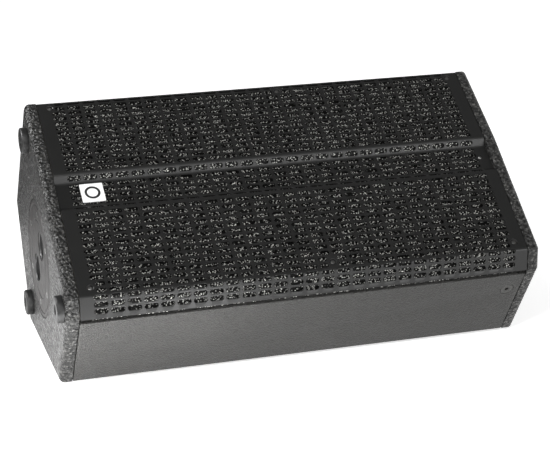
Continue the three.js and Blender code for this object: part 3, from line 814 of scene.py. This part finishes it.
class WEDGE_OT_wall_boards(bpy.types.Operator):
    """Models the four wall boards between the end panels"""

    bl_idname = "wedge.wall_boards"
    bl_label = "Wall boards"

    def execute(self, context):
        ease_width = context.scene.wedge_sizes.board_ease / MM
        toe, heel, back = (
            self.mitre(LIP, TOE, HEEL), self.mitre(TOE, HEEL, BACK), self.mitre(HEEL, BACK, TOP))
        rig = RIGGING["radius"] + GAP
        rig_deep = RIGGING["deep"] + GAP
        front_holes = [
            rod("hole", rig, -rig_deep, 3, 48, (RIGGING["x"], FRONT_LONG - RIGGING["down"]))]
        rear_holes = [block(
            "hole", (CONNECTOR["cut_wide"], CONNECTOR["cut_high"], 3 * WALL),
            (0, CONNECTOR["y"], 0), 5)]
        handle_holes = [
            rod("hole", rig, -rig_deep, 3, 48, (RIGGING["x"], RIGGING["down"])),
            block(
                "hole", (HANDLE["wide"] + 2, HANDLE["high"] + 2, 3 * WALL),
                (0, HANDLE["y"], 0), 9),
        ]
        half, slack = INNER_HALF - SEAM, GAP / 2
        boards = (
            ("front_board", "front_side_panel", FRONT_WALL,
             (0, FRONT_LONG - FRONT_WALL_START, toe, 0), front_holes),
            ("floor_board", "floor_side_panel", FLOOR_WALL,
             (0, (TOE - HEEL).length, heel, toe), []),
            ("rear_board", "rear_panel", REAR_WALL,
             (0, (HEEL - BACK).length, back, heel), rear_holes),
            ("handle_board", "handle_side_panel", HANDLE_WALL,
             (HANDLE_WALL_START, (BACK - TOP).length, 0, back), handle_holes),
        )
        for name, node, wall, (low, high, mitre_low, mitre_high), holes in boards:
            board = drawn_out(name, (
                (low + slack, 0), (low + mitre_low + slack, -WALL),
                (high - mitre_high - slack, -WALL), (high - slack, 0)), -half, half)
            for hole in holes:
                combine(board, "DIFFERENCE", hole)
            ease(board, ease_width)
            finished(place(board, wall), "fine_paint", [node])
        return {"FINISHED"}

    @staticmethod
    def mitre(before, corner, after):
        """How far a wall's inner face falls short of a mitred corner."""
        return WALL / math.tan((before - corner).angle(after - corner) / 2)


# ---------------------------------------------------------------- grille


LIP_ROWS = (10.1, 20.0, 30.3)
# Each run of rows: how many, the first one's distance from its fold, and the step between them.
ROWS = {"near": (13, 8.9, 10.3), "trough": (4, 5.2, 10.2), "far": (14, 3.3, 9.65)}
# The strip of sheet round a row of slots, and where the corners of the mesh stand on its border.
STRIP = {"half_high": 5, "middle_half": 1.3, "corner": 7.9, "crown": 4.5}
# The room that the slots leave round a screw, along their row and across it.
SCREW_CLEAR = {"along": 6.9, "across": 8.4}
DIMPLE = 4.9


def slot_rows(line):
    """The length along the grille of each row of slots, from the lip's edge."""
    brow, step_top, low, high, ridge, top = line.reach[1:7]
    near, trough, far = (
        [first + step * i for i in range(count)] for count, first, step in ROWS.values())
    return [
        *LIP_ROWS,
        *(brow + row for row in near),
        (step_top + low) / 2,
        *(high - row for row in reversed(trough)),
        (high + ridge) / 2,
        *(top - row for row in reversed(far)),
    ]


class WEDGE_OT_grille(bpy.types.Operator):
    """Models the folded and slotted steel grille with its six pressed screw cups"""

    bl_idname = "wedge.grille"
    bl_label = "Grille"

    def execute(self, context):
        sizes = context.scene.wedge_sizes
        line = FoldedLine(grille_corners(), sizes.fold_bend / MM)
        pitch = sizes.slot_pitch / MM
        row = self.row_of_slots(sizes, pitch)
        sheet = self.sheet_of_rows(row, line, pitch, sizes)
        self.fold(sheet, line)
        modify(sheet, "SOLIDIFY", thickness=sizes.sheet_thick / MM, offset=-1, use_even_offset=True)
        ease(sheet, 0.35, 1, 60)
        place(sheet, CABINET)
        dimples = [
            place(rod("dimple", DIMPLE, -4, 4, 32), there) for there in screw_places().values()]
        combine(sheet, "DIFFERENCE", *dimples)
        finished(sheet, "sheet_coating", ["grille"], smooth=40)
        cup = turned("screw_cup", (
            (4.86, -0.05), (4.6, -2.5), (2.0, -2.5), (2.0, -2.3), (4.0, -2.3), (4.4, -0.5)), 32)
        copies(cup, screw_places(), "sheet_coating")
        return {"FINISHED"}

    @staticmethod
    def row_of_slots(sizes, pitch):
        """One slot with the sheet around it, repeated along a row."""
        radius = sizes.slot_high / MM / 2
        straight = sizes.slot_long / MM / 2 - radius
        cell = start("grille_sheet", "circle", vertices=16, radius=radius)
        place(cell, Matrix.Rotation(math.pi / 16, 4, "Z"))
        for vertex in cell.data.vertices:
            vertex.co.x += math.copysign(straight, vertex.co.x)
        with editing(cell, "VERT"):
            bpy.ops.mesh.select_all(action="SELECT")
            bpy.ops.mesh.extrude_region_move()
            net = bmesh.from_edit_mesh(cell.data)
            for vertex in net.verts:
                if not vertex.select:
                    continue
                side = math.copysign(1, vertex.co.x)
                up = math.copysign(1, vertex.co.y)
                # The round ends' corners rise by 11, 34, 56 and 79 degrees on each quarter.
                rise = math.degrees(math.asin(min(1, abs(vertex.co.y) / radius)))
                if rise < 22:
                    vertex.co = (side * pitch / 2, up * STRIP["middle_half"], 0)
                    continue
                across = pitch / 2 if rise < 45 else STRIP["corner" if rise < 67 else "crown"]
                vertex.co = (side * across, up * STRIP["half_high"], 0)
            bmesh.update_edit_mesh(cell.data)
        count = sizes.slot_columns
        modify(
            cell, "ARRAY", count=count, use_relative_offset=False, use_constant_offset=True,
            constant_offset_displace=(pitch, 0, 0))
        return place(cell, Matrix.Translation((-pitch * (count - 1) / 2, 0, 0)))

    @staticmethod
    def sheet_of_rows(row, line, pitch, sizes):
        """The whole flat sheet, before it is folded."""
        rows = slot_rows(line)
        lows = [0.0] + [(a + b) / 2 for a, b in zip(rows, rows[1:])]
        highs = lows[1:] + [rows[-1] + STRIP["half_high"] + 0.1]
        edge = sizes.slot_columns * pitch / 2
        reach = (sizes.slot_long / MM) / 2 + SCREW_CLEAR["along"]
        screw_lengths = {
            name: (line.reach[5] + y - RIDGE.x) if y > 0
            else line.reach[1] + (Vector((y, front_height(y))) - BROW).length
            for name, (_, y) in SCREWS.items()}
        strips = []
        for low, centre, high in zip(lows, rows, highs):
            strip = copy_of(row, "strip")
            near = [
                SCREWS[screw][0] for screw, length in screw_lengths.items()
                if abs(length - centre) < SCREW_CLEAR["across"]]
            for vertex in strip.data.vertices:
                at_edge = abs(vertex.co.y) > STRIP["half_high"] - 0.1
                column = round(vertex.co.x / pitch) * pitch
                offset = vertex.co.x - column
                on_border = at_edge or abs(abs(offset) - pitch / 2) < 0.01
                for screw in near:
                    away = screw - column
                    if not on_border and abs(away) < reach and away * offset > 0:
                        vertex.co.x -= math.copysign(reach - abs(away), away)
                if at_edge:
                    vertex.co.y = high if vertex.co.y > 0 else low
                else:
                    vertex.co.y += centre
            strips.append(strip)
        bpy.data.objects.remove(row)
        sheet = join(*strips)
        sheet.name = "grille_sheet"
        end = line.reach[-1]
        with editing(sheet, "EDGE"):
            bpy.ops.mesh.select_all(action="SELECT")
            bpy.ops.mesh.remove_doubles(threshold=0.01)
            pick(sheet, "edges", lambda e: all(v.co.y > highs[-1] - 0.01 for v in e.verts))
            bpy.ops.mesh.extrude_region_move(
                TRANSFORM_OT_translate={"value": (0, end - highs[-1], 0)})
            for side in (-1, 1):
                pick(sheet, "edges", lambda e: all(side * v.co.x > edge - 0.01 for v in e.verts))
                bpy.ops.mesh.extrude_region_move(
                    TRANSFORM_OT_translate={"value": (side * (GRILLE_HALF - edge), 0, 0)})
            for cut in line.cuts():
                bpy.ops.mesh.select_all(action="SELECT")
                bpy.ops.mesh.bisect(plane_co=(0, cut, 0), plane_no=(0, 1, 0))
            bpy.ops.mesh.select_all(action="SELECT")
            bpy.ops.mesh.normals_make_consistent(inside=False)
        return sheet

    @staticmethod
    def fold(sheet, line):
        """Folds the flat sheet along its line, with its face outwards."""
        if sum(face.normal.z * face.area for face in sheet.data.polygons) < 0:
            sheet.data.flip_normals()
        top_fold = line.reach[-2] - line.bend
        for vertex in sheet.data.vertices:
            x, (y, z) = vertex.co.x, line.point(vertex.co.y)
            if vertex.co.y > top_fold - 0.1 and abs(x) > GRILLE_HALF - 0.1:
                x = math.copysign(INNER_HALF - 0.1, x)
            vertex.co = (x, y, z)


class WEDGE_OT_grille_screws(bpy.types.Operator):
    """Models the six screws that hold the grille"""

    bl_idname = "wedge.grille_screws"
    bl_label = "Grille screws"

    def execute(self, context):
        screw = turned("grille_bolt", (
            (0, -14), (0.6, -13.4), (1.8, -12), (1.8, -2.28), (3.1, -2.28), (3.1, -1.7),
            (2.8, -1.2), (2.2, -0.9), (1.5, -0.8), (0, -0.8)), 32)
        combine(screw, "DIFFERENCE", rod("key", 1.2, -1.7, 1, 6))
        copies(screw, screw_places(), "dark_screw", "grille_screw")
        rivet = turned("trough_rivet", (
            (0, -2.4), (1.5, -2.4), (1.5, 0.1), (2.7, 0.1), (2.4, 0.6), (1.5, 1.1), (0, 1.3)), 24)
        place(rivet, CABINET @ Matrix.Translation((RIVET["x"], RIVET["y"], -TROUGH["depth"])))
        finished(rivet, "dark_screw")
        return {"FINISHED"}


class WEDGE_OT_foam(bpy.types.Operator):
    """Models the open foam behind the grille"""

    bl_idname = "wedge.foam"
    bl_label = "Foam"

    def execute(self, context):
        sizes = context.scene.wedge_sizes
        corners = inset(grille_corners(), FOAM["depth"])
        down = (corners[0] - corners[1]).normalized()
        behind_lip = Vector((-down.y, down.x)) * FOAM["lip_back"]
        corners[0] += behind_lip
        corners[1] += behind_lip
        along = (corners[-1] - corners[-2]).normalized()
        corners[0] += down * FOAM["lip_longer"]
        corners[-1] += along * FOAM["top_longer"]
        line = FoldedLine(corners, FOAM["bend"])
        long = line.reach[-1]
        step = sizes.foam_step / MM
        foam = start(
            "foam_layer", "grid", size=1,
            x_subdivisions=round(2 * FOAM["half"] / step), y_subdivisions=round(long / step))
        stretch = Matrix.Diagonal((2 * FOAM["half"], long, 1, 1))
        place(foam, Matrix.Translation((0, long / 2, 0)) @ stretch)
        self.clear_screws(foam, line)
        for vertex in foam.data.vertices:
            y, z = line.point(vertex.co.y)
            vertex.co = (vertex.co.x, y, z)
        cells = bpy.data.textures.new("foam_cells", "VORONOI")
        cells.noise_scale = FOAM["cell"]
        modify(
            foam, "DISPLACE", texture=cells, texture_coords="LOCAL",
            strength=FOAM["relief"], mid_level=0.75)
        modify(foam, "SOLIDIFY", thickness=sizes.foam_thick / MM - FOAM["slack"], offset=-1)
        self.squeeze(foam)
        finished(place(foam, CABINET), "open_foam", ["grille_foam"], smooth=180)
        return {"FINISHED"}

    @staticmethod
    def clear_screws(foam, line):
        """Cuts the foam back round the two middle screws."""
        x, far = SCREWS["far_middle"]
        near = SCREWS["near_middle"][1]
        lengths = (line.reach[5] + far - RIDGE.x, line.reach[1] + near - BROW.x)
        with editing(foam):
            pick(foam, "faces", lambda f: any(
                (f.calc_center_median() - Vector((x, length, 0))).length < FOAM["screw_room"]
                for length in lengths))
            bpy.ops.mesh.delete(type="FACE")

    @staticmethod
    def squeeze(foam):
        """Squeezes the foam thin where a wooden block stands behind it."""
        x, far = SCREWS["far_middle"]
        (free_front, free_thick), (pressed_front, pressed_thick) = FOAM["free"], FOAM["pressed"]
        for vertex in foam.data.vertices:
            across = min(abs(vertex.co.y - y) for y in (far, SCREWS["near_middle"][1]))
            if abs(vertex.co.x - x) < FOAM["block"][0] and across < FOAM["block"][1]:
                front = front_height(vertex.co.y)
                share = (front - vertex.co.z - free_front) / free_thick
                vertex.co.z = front - pressed_front - share * pressed_thick


class WEDGE_OT_badge(bpy.types.Operator):
    """Models the small badge plate with a plain ring on it"""

    bl_idname = "wedge.badge"
    bl_label = "Badge"

    def execute(self, context):
        size, thick = BADGE["size"], BADGE["thick"]
        on_floor = CABINET @ Matrix.Translation((BADGE["x"], BADGE["y"], GAP - TROUGH["depth"]))
        plate = block("badge_plate", (size, size, thick), (0, 0, thick / 2), 1.2, 4)
        groove = turned("groove", (
            (7.5, thick - 0.25), (11, thick - 0.25), (11, thick + 1), (7.5, thick + 1)), 64)
        combine(plate, "DIFFERENCE", groove)
        ease(plate, 0.18)
        finished(place(plate, on_floor), "badge_enamel", ["badge"])
        ring = turned("badge_ring", (
            (7.6, thick - 0.24), (10.9, thick - 0.24), (10.9, thick + 0.05),
            (10.7, thick + 0.15), (7.8, thick + 0.15), (7.6, thick + 0.05)), 64)
        finished(place(ring, on_floor), "badge_ring_enamel")
        return {"FINISHED"}


# ---------------------------------------------------------------- base end


class WEDGE_OT_feet(bpy.types.Operator):
    """Models the rubber feet and the screws of the end feet"""

    bl_idname = "wedge.feet"
    bl_label = "Feet"

    def execute(self, context):
        foot = turned("end_foot_rubber", (
            (2.6, 0.3), (18.4, 0.3), (18.5, 0.8), (18.5, 7.6), (18.1, 8.9), (17.2, 9.7),
            (16.0, 10), (7.8, 10), (7.2, 9.8), (7, 9.2), (7, 5), (2.6, 5)), 64)
        screw = turned("end_foot_bolt", (
            (0, -11), (2.1, -11), (2.1, 5.3), (5.6, 5.3), (5.6, 6.8), (5.2, 7.5),
            (4.2, 8.1), (3.0, 8.4), (0, 8.4)), 32)
        combine(screw, "DIFFERENCE", rod("key", 2.1, 6.6, 9, 6))
        ends = {i: out_of_base(y, z) for i, (y, z) in enumerate(END_FEET, 1)}
        copies(foot, ends, "rubber", "end_foot")
        copies(screw, ends, "zinc_steel", "end_foot_screw")
        low = turned("floor_foot_rubber", (
            (0, 0.3), (13.9, 0.3), (14, 0.6), (14, 3.4), (13.7, 4.3), (12.8, 4.9), (11.6, 5),
            (4, 5), (3.6, 4.6), (0, 4.6)), 48)
        length = (TOE - HEEL).length
        corners = {
            f"{row}_{name}": FLOOR_WALL @ Matrix.Translation(
                (side * FLOOR_FOOT["x"], length - FLOOR_FOOT[row], 0))
            for row in ("near", "far") for name, side in (("base", -1), ("top", 1))}
        copies(low, corners, "rubber", "floor_foot")
        return {"FINISHED"}


class WEDGE_OT_pole_mount(bpy.types.Operator):
    """Models the round pole plate, its two steel sockets and its screws"""

    bl_idname = "wedge.pole_mount"
    bl_label = "Pole mount"

    def execute(self, context):
        radius = POLE["radius"]
        plate = turned("pole_plate", (
            (0, -5), (radius, -5), (radius, -0.7), (radius - 0.7, 0), (radius - 5.5, 0),
            (radius - 6.1, -0.8), (radius - 7.6, -0.8), (radius - 8.2, 0), (57.5, 0),
            (56.8, -0.7), (55.4, -0.7), (54.7, 0), (0, 0)), 128)
        bore, wall, deep = SOCKET["bore"], SOCKET["wall"], SOCKET["deep"]
        fit = bore + wall + GAP
        sockets = {name: self.in_plate(*socket) for name, socket in SOCKETS.items()}
        for there in sockets.values():
            combine(plate, "UNION", place(rod("collar", fit + 4, -26, -2, 64), there))
        for there in sockets.values():
            combine(plate, "DIFFERENCE", place(rod("bore", fit, -40, 4, 64), there))
        centre = out_of_base(POLE["y"], POLE["z"])
        bolts = {}
        for i in range(POLE["bolts"]):
            angle = math.tau * (i + 0.5) / POLE["bolts"]
            at = Matrix.Translation((
                POLE["bolt_circle"] * math.cos(angle), POLE["bolt_circle"] * math.sin(angle), 0))
            sink = turned("sink", (
                (0, -6), (2.1, -6), (2.1, -2.3), (4.6, 0.05), (4.6, 2), (0, 2)), 32)
            combine(plate, "DIFFERENCE", place(sink, at))
            bolts[i + 1] = centre @ at
        place(plate, centre)
        finished(plate, "moulded_plastic", ["pole_mount_plate"])
        screw = turned("pole_plate_bolt", (
            (0, -4.2), (2, -4.2), (2, -2.4), (4.3, -0.25), (4.3, -0.05), (0, -0.05)), 32)
        combine(screw, "DIFFERENCE", rod("key", 1.9, -1.4, 1, 6))
        copies(screw, bolts, "dark_screw")
        for name, there in sockets.items():
            sleeve = turned(f"pole_tube_{name}", (
                (0, -deep - 2.5), (bore + wall, -deep - 2.5), (bore + wall, -0.8),
                (bore + 0.9, -0.8), (bore, -2.2), (bore, -deep), (0, -deep)), 64)
            place(sleeve, centre @ there)
            finished(sleeve, "black_steel", [f"pole_sleeve_{name}"])
        return {"FINISHED"}

    @staticmethod
    def in_plate(y, z, tilt):
        """A socket's place in the plate's own frame."""
        flat = Matrix.Rotation(-math.pi / 2, 4, "Y").inverted()
        across = flat @ Vector((0, y - POLE["y"], z - POLE["z"]))
        return Matrix.Translation(across) @ Matrix.Rotation(tilt, 4, "Y")


# ---------------------------------------------------------------- other fittings


class WEDGE_OT_woofer_roll(bpy.types.Operator):
    """Models the half roll round the woofer's cone"""

    bl_idname = "wedge.woofer_roll"
    bl_label = "Woofer roll"

    def execute(self, context):
        into_cabinet = CABINET.inverted()
        ring = [into_cabinet @ v.co for v in frame["nodes"]["woofer_surround"].data.vertices]
        middle_x, middle_y = (
            (min(p[i] for p in ring) + max(p[i] for p in ring)) / 2 for i in (0, 1))
        foot, crest = (edge(p.z for p in ring) for edge in (min, max))
        base = foot + 1
        turns = [math.pi * i / ROLL["steps"] for i in range(ROLL["steps"] + 1)]
        outside, inside = (
            [(ROLL["centre"] - radius * math.cos(turn), base + radius * math.sin(turn))
             for turn in turns]
            for radius in (ROLL["bend"] + ROLL["half_thick"], ROLL["bend"] - ROLL["half_thick"]))
        roll = turned("woofer_roll", (
            (ROLL["inner"], foot), (ROLL["inner"], base), *outside,
            (ROLL["outer"], base), (ROLL["outer"], foot), *reversed(inside)), 96)
        place(roll, CABINET @ Matrix.Translation((middle_x, middle_y, 0)))
        finished(roll, "treated_cloth", ["woofer_surround"], smooth=60)
        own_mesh(roll)
        return {"FINISHED"}


class WEDGE_OT_rigging(bpy.types.Operator):
    """Models the two flush plugs of the rigging points"""

    bl_idname = "wedge.rigging"
    bl_label = "Rigging plugs"

    def execute(self, context):
        radius, deep = RIGGING["radius"], RIGGING["deep"]
        plug = turned("rigging_disc", (
            (0, -deep), (radius, -deep), (radius, -0.5), (radius - 0.5, 0), (5.2, 0),
            (4.6, -0.7), (0, -0.7)), 48)
        combine(plug, "DIFFERENCE", rod("key", 3.4, -5.5, 1, 6))
        x, down = RIGGING["x"], RIGGING["down"]
        places = {
            "front": FRONT_WALL @ Matrix.Translation((x, FRONT_LONG - down, 0)),
            "back": HANDLE_WALL @ Matrix.Translation((x, down, 0)),
        }
        copies(plug, places, "plug_paint", "rigging_plug")
        return {"FINISHED"}


class WEDGE_OT_handle(bpy.types.Operator):
    """Models the recessed carrying handle"""

    bl_idname = "wedge.handle"
    bl_label = "Handle"

    def execute(self, context):
        y, wide, high, deep, wall, rim = (
            HANDLE[key] for key in ("y", "wide", "high", "deep", "wall", "rim"))
        flange = block(
            "handle_dish", (wide + 2 * rim, high + 2 * rim, 2.5), (0, y, GAP + 1.25), 16, 8)
        cup = block("cup", (wide, high, deep + 2.5), (0, y, GAP - deep / 2 + 1.25), 8)
        combine(flange, "UNION", cup)
        hollow = block(
            "hollow", (wide - 2 * wall, high - 2 * wall, deep + 4),
            (0, y, wall + GAP - deep / 2 + 4.5), 6)
        combine(flange, "DIFFERENCE", hollow)
        corners = [
            Matrix.Translation((side_x * (wide / 2 + 5.5), y + side_y * 36, 0))
            for side_x in (-1, 1) for side_y in (-1, 1)]
        for corner in corners:
            sink = turned("sink", ((0, -1), (1.9, -1), (3.9, GAP + 2.6), (3.9, 9), (0, 9)), 24)
            combine(flange, "DIFFERENCE", place(sink, corner))
        ease(flange, 0.8)
        finished(place(flange, HANDLE_WALL), "moulded_plastic", ["handle_cup"])
        grip = turned("handle_bar", self.grip_profile(wide / 2 - wall - GAP), 40)
        lying = Matrix.Translation((0, y, -11)) @ Matrix.Rotation(math.pi / 2, 4, "Y")
        place(grip, HANDLE_WALL @ lying)
        finished(grip, "black_steel", ["handle_grip"])
        bolt = turned("handle_bolt", (
            (0, 0), (1.8, 0), (3.5, GAP + 2.0), (3.5, GAP + 2.2), (0, GAP + 2.2)), 24)
        combine(bolt, "DIFFERENCE", rod("key", 1.5, GAP + 1.1, 4, 6))
        places = {i: HANDLE_WALL @ corner for i, corner in enumerate(corners, 1)}
        copies(bolt, places, "dark_screw")
        return {"FINISHED"}

    @staticmethod
    def grip_profile(half):
        """Half of the bar's outline, with shallow grooves for the fingers along its middle."""
        grooves = HANDLE["grooves"]
        profile = [(0, -half), (9.5, -half), (10.6, -half + 6)]
        for i in range(grooves):
            middle = -half + 30 + (2 * half - 60) * i / (grooves - 1)
            profile += [
                (11.0, middle - 1.6), (10.3, middle - 0.8), (10.3, middle + 0.8),
                (11.0, middle + 1.6)]
        return profile + [(10.6, half - 6), (9.5, half), (0, half)]


class WEDGE_OT_connectors(bpy.types.Operator):
    """Models the connector plate with its two speaker sockets"""

    bl_idname = "wedge.connectors"
    bl_label = "Connector plate"

    def execute(self, context):
        y, wide, high, thick = (CONNECTOR[key] for key in ("y", "wide", "high", "plate"))
        face = GAP + thick
        outer = JACK["bore"] + JACK["wall"]
        plate = block("jack_plate", (wide, high, thick), (0, y, GAP + thick / 2), 7, 6)
        for side in (-1, 1):
            combine(plate, "DIFFERENCE", rod(
                "hole", outer + GAP, -20, 20, 48, (side * JACK["apart"], y)))
        corners = [
            Matrix.Translation((side_x * (wide / 2 - 8), y + side_y * (high / 2 - 8), 0))
            for side_x in (-1, 1) for side_y in (-1, 1)]
        for corner in corners:
            sink = turned("sink", (
                (0, -1), (1.9, -1), (1.9, 1), (4.0, face + 0.05), (4.0, face + 5),
                (0, face + 5)), 24)
            combine(plate, "DIFFERENCE", place(sink, corner))
        groove = block("groove", (wide - 34, high - 30, 1), (0, y, face + 0.1), 5)
        inner = block("inner", (wide - 36, high - 32, 3), (0, y, face), 4)
        combine(groove, "DIFFERENCE", inner)
        combine(plate, "DIFFERENCE", groove)
        ease(plate, 0.3)
        finished(place(plate, REAR_WALL), "black_steel", ["connector_plate"])
        bolt = turned("plate_bolt", (
            (0, -1), (1.8, -1), (1.8, 1), (3.7, face - 0.2), (3.7, face), (0, face)), 24)
        combine(bolt, "DIFFERENCE", rod("key", 1.5, face - 1.1, face + 1, 6))
        places = {i: REAR_WALL @ corner for i, corner in enumerate(corners, 1)}
        copies(bolt, places, "dark_screw")
        self.jacks(face + GAP)
        return {"FINISHED"}

    @staticmethod
    def jacks(rim):
        """The two sockets, with the keyways that lock the plug."""
        bore, deep, post, flange = (JACK[key] for key in ("bore", "deep", "post", "flange"))
        outer = bore + JACK["wall"]
        jack = turned("speaker_jack", (
            (0, -deep - 2), (outer, -deep - 2), (outer, rim), (flange, rim), (flange, rim + 1.1),
            (flange - 0.4, rim + 1.5), (bore + 1.2, rim + 1.5), (bore, rim + 0.5), (bore, -deep),
            (post, -deep), (post, -0.8), (post - 0.8, 0), (2.2, 0), (2.2, -4), (0, -4)), 64)
        for angle, width in ((0.3, 3.2), (2.4, 2.2), (4.5, 2.2)):
            key = block("key", (2.4, width, 12), (bore + 0.3, 0, rim - 2))
            combine(jack, "DIFFERENCE", place(key, Matrix.Rotation(angle, 4, "Z")))
        places = {
            name: REAR_WALL @ Matrix.Translation((side * JACK["apart"], CONNECTOR["y"], 0))
            for name, side in (("input", -1), ("link", 1))}
        copies(jack, places, "moulded_plastic", "speaker_socket")


# ---------------------------------------------------------------- studio

# Each light's place, size and target in metres. The edge light only shows as a gleam.
LIGHTS = {
    "front_light": ((1.2, -3.2, 0.6), (2.4, 1.0), (0, 0, 0.1)),
    "side_light": ((-0.5, -0.03, 0.02), (0.3, 0.04), (0, 0, 0.1)),
    "low_light": ((-0.29, -0.29, 0.004), (0.56, 0.1), (-0.21, -0.12, 0.1)),
    "edge_light": ((-1.015, 0.3, 0.75), (0.5, 0.3), (0, 0, 0.2)),
    "key_light": ((-1.3, -2.2, 2.1), (0.35, 0.35), (0, 0, 0.1)),
}
# A dark card behind the base end, which keeps gleams off its far side.
CARD = {"place": (-1.0, 0.42, 0.6), "size": (1.3, 1.1)}


class WEDGE_OT_studio(bpy.types.Operator):
    """Sets the pale floor, the soft light and the camera"""

    bl_idname = "wedge.studio"
    bl_label = "Studio"

    def execute(self, context):
        scene = context.scene
        studio = scene.wedge_studio
        floor = start("studio_floor", "plane", size=30)
        floor.data.materials.append(FINISHES["studio_floor"])

        camera = bpy.data.cameras.new("camera")
        camera.lens = studio.camera_lens
        camera.sensor_width = 36
        camera.clip_end = 100
        stand = bpy.data.objects.new("camera", camera)
        scene.collection.objects.link(stand)
        stand.location = studio.camera_place
        stand.rotation_euler = (studio.camera_pitch, 0, studio.camera_turn)
        scene.camera = stand

        for name, (stands, size, target) in LIGHTS.items():
            light = self.soft_light(name, getattr(studio, name), stands, size, target)
            light.visible_diffuse = name != "edge_light"
        card = start("dark_card", "plane", size=1)
        upright = Matrix.Rotation(math.pi / 2, 4, "X") @ Matrix.Diagonal((*CARD["size"], 1, 1))
        place(card, Matrix.Translation(CARD["place"]) @ upright)
        card.data.materials.append(FINISHES["dark_card"])
        card.visible_camera = card.visible_diffuse = card.visible_shadow = False
        self.surroundings(scene, studio.sky)
        scene.view_settings.view_transform = "Standard"
        return {"FINISHED"}

    @staticmethod
    def soft_light(name, power, stands, size, target):
        lamp = bpy.data.lights.new(name, "AREA")
        lamp.shape = "RECTANGLE"
        lamp.size, lamp.size_y = size
        lamp.energy = power
        light = bpy.data.objects.new(name, lamp)
        bpy.context.scene.collection.objects.link(light)
        light.location = stands
        away = Vector(stands) - Vector(target)
        light.rotation_euler = away.to_track_quat("Z", "Y").to_euler()
        light.visible_camera = False
        return light

    @staticmethod
    def surroundings(scene, brightness):
        """White near the horizon and dim overhead, like a studio with a dark ceiling."""
        world = bpy.data.worlds.new("studio")
        scene.world = world
        world.use_nodes = True
        nodes, links = world.node_tree.nodes, world.node_tree.links
        background = nodes["Background"]
        coordinates = nodes.new("ShaderNodeTexCoord")
        split = nodes.new("ShaderNodeSeparateXYZ")
        ramp = nodes.new("ShaderNodeValToRGB")
        links.new(coordinates.outputs["Generated"], split.inputs["Vector"])
        links.new(split.outputs["Z"], ramp.inputs["Fac"])
        links.new(ramp.outputs["Color"], background.inputs["Color"])
        stops = ramp.color_ramp.elements
        stops[0].position, stops[0].color = 0.25, (1, 1, 1, 1)
        stops[1].position, stops[1].color = 0.7, (0.16, 0.16, 0.16, 1)
        background.inputs["Strength"].default_value = brightness


class WEDGE_PT_panel(bpy.types.Panel):
    """Lists the wedge's operators"""

    bl_idname = "WEDGE_PT_panel"
    bl_label = "Stage Monitor Wedge"
    bl_space_type = "VIEW_3D"
    bl_region_type = "UI"
    bl_category = "Wedge"

    def draw(self, context):
        for group in (
            context.scene.wedge_sizes, context.scene.wedge_tones, context.scene.wedge_studio
        ):
            box = self.layout.box()
            for name in group.bl_rna.properties.keys():
                if name not in ("rna_type", "name"):
                    box.prop(group, name)
        for operator in OPERATORS:
            self.layout.operator(operator.bl_idname)


OPERATORS = (
    WEDGE_OT_finishes,
    WEDGE_OT_end_boards,
    WEDGE_OT_wall_boards,
    WEDGE_OT_grille,
    WEDGE_OT_grille_screws,
    WEDGE_OT_foam,
    WEDGE_OT_badge,
    WEDGE_OT_feet,
    WEDGE_OT_pole_mount,
    WEDGE_OT_woofer_roll,
    WEDGE_OT_rigging,
    WEDGE_OT_handle,
    WEDGE_OT_connectors,
    WEDGE_OT_studio,
)
CLASSES = (WedgeSizes, WedgeTones, WedgeStudio, *OPERATORS, WEDGE_PT_panel)


def register():
    for item in CLASSES:
        bpy.utils.register_class(item)
    bpy.types.Scene.wedge_sizes = PointerProperty(type=WedgeSizes)
    bpy.types.Scene.wedge_tones = PointerProperty(type=WedgeTones)
    bpy.types.Scene.wedge_studio = PointerProperty(type=WedgeStudio)


def unregister():
    del bpy.types.Scene.wedge_studio
    del bpy.types.Scene.wedge_tones
    del bpy.types.Scene.wedge_sizes
    for item in reversed(CLASSES):
        bpy.utils.unregister_class(item)


def main():
    register()
    for operator in OPERATORS:
        group, name = operator.bl_idname.split(".")
        getattr(getattr(bpy.ops, group), name)()


if __name__ == "__main__":
    main()
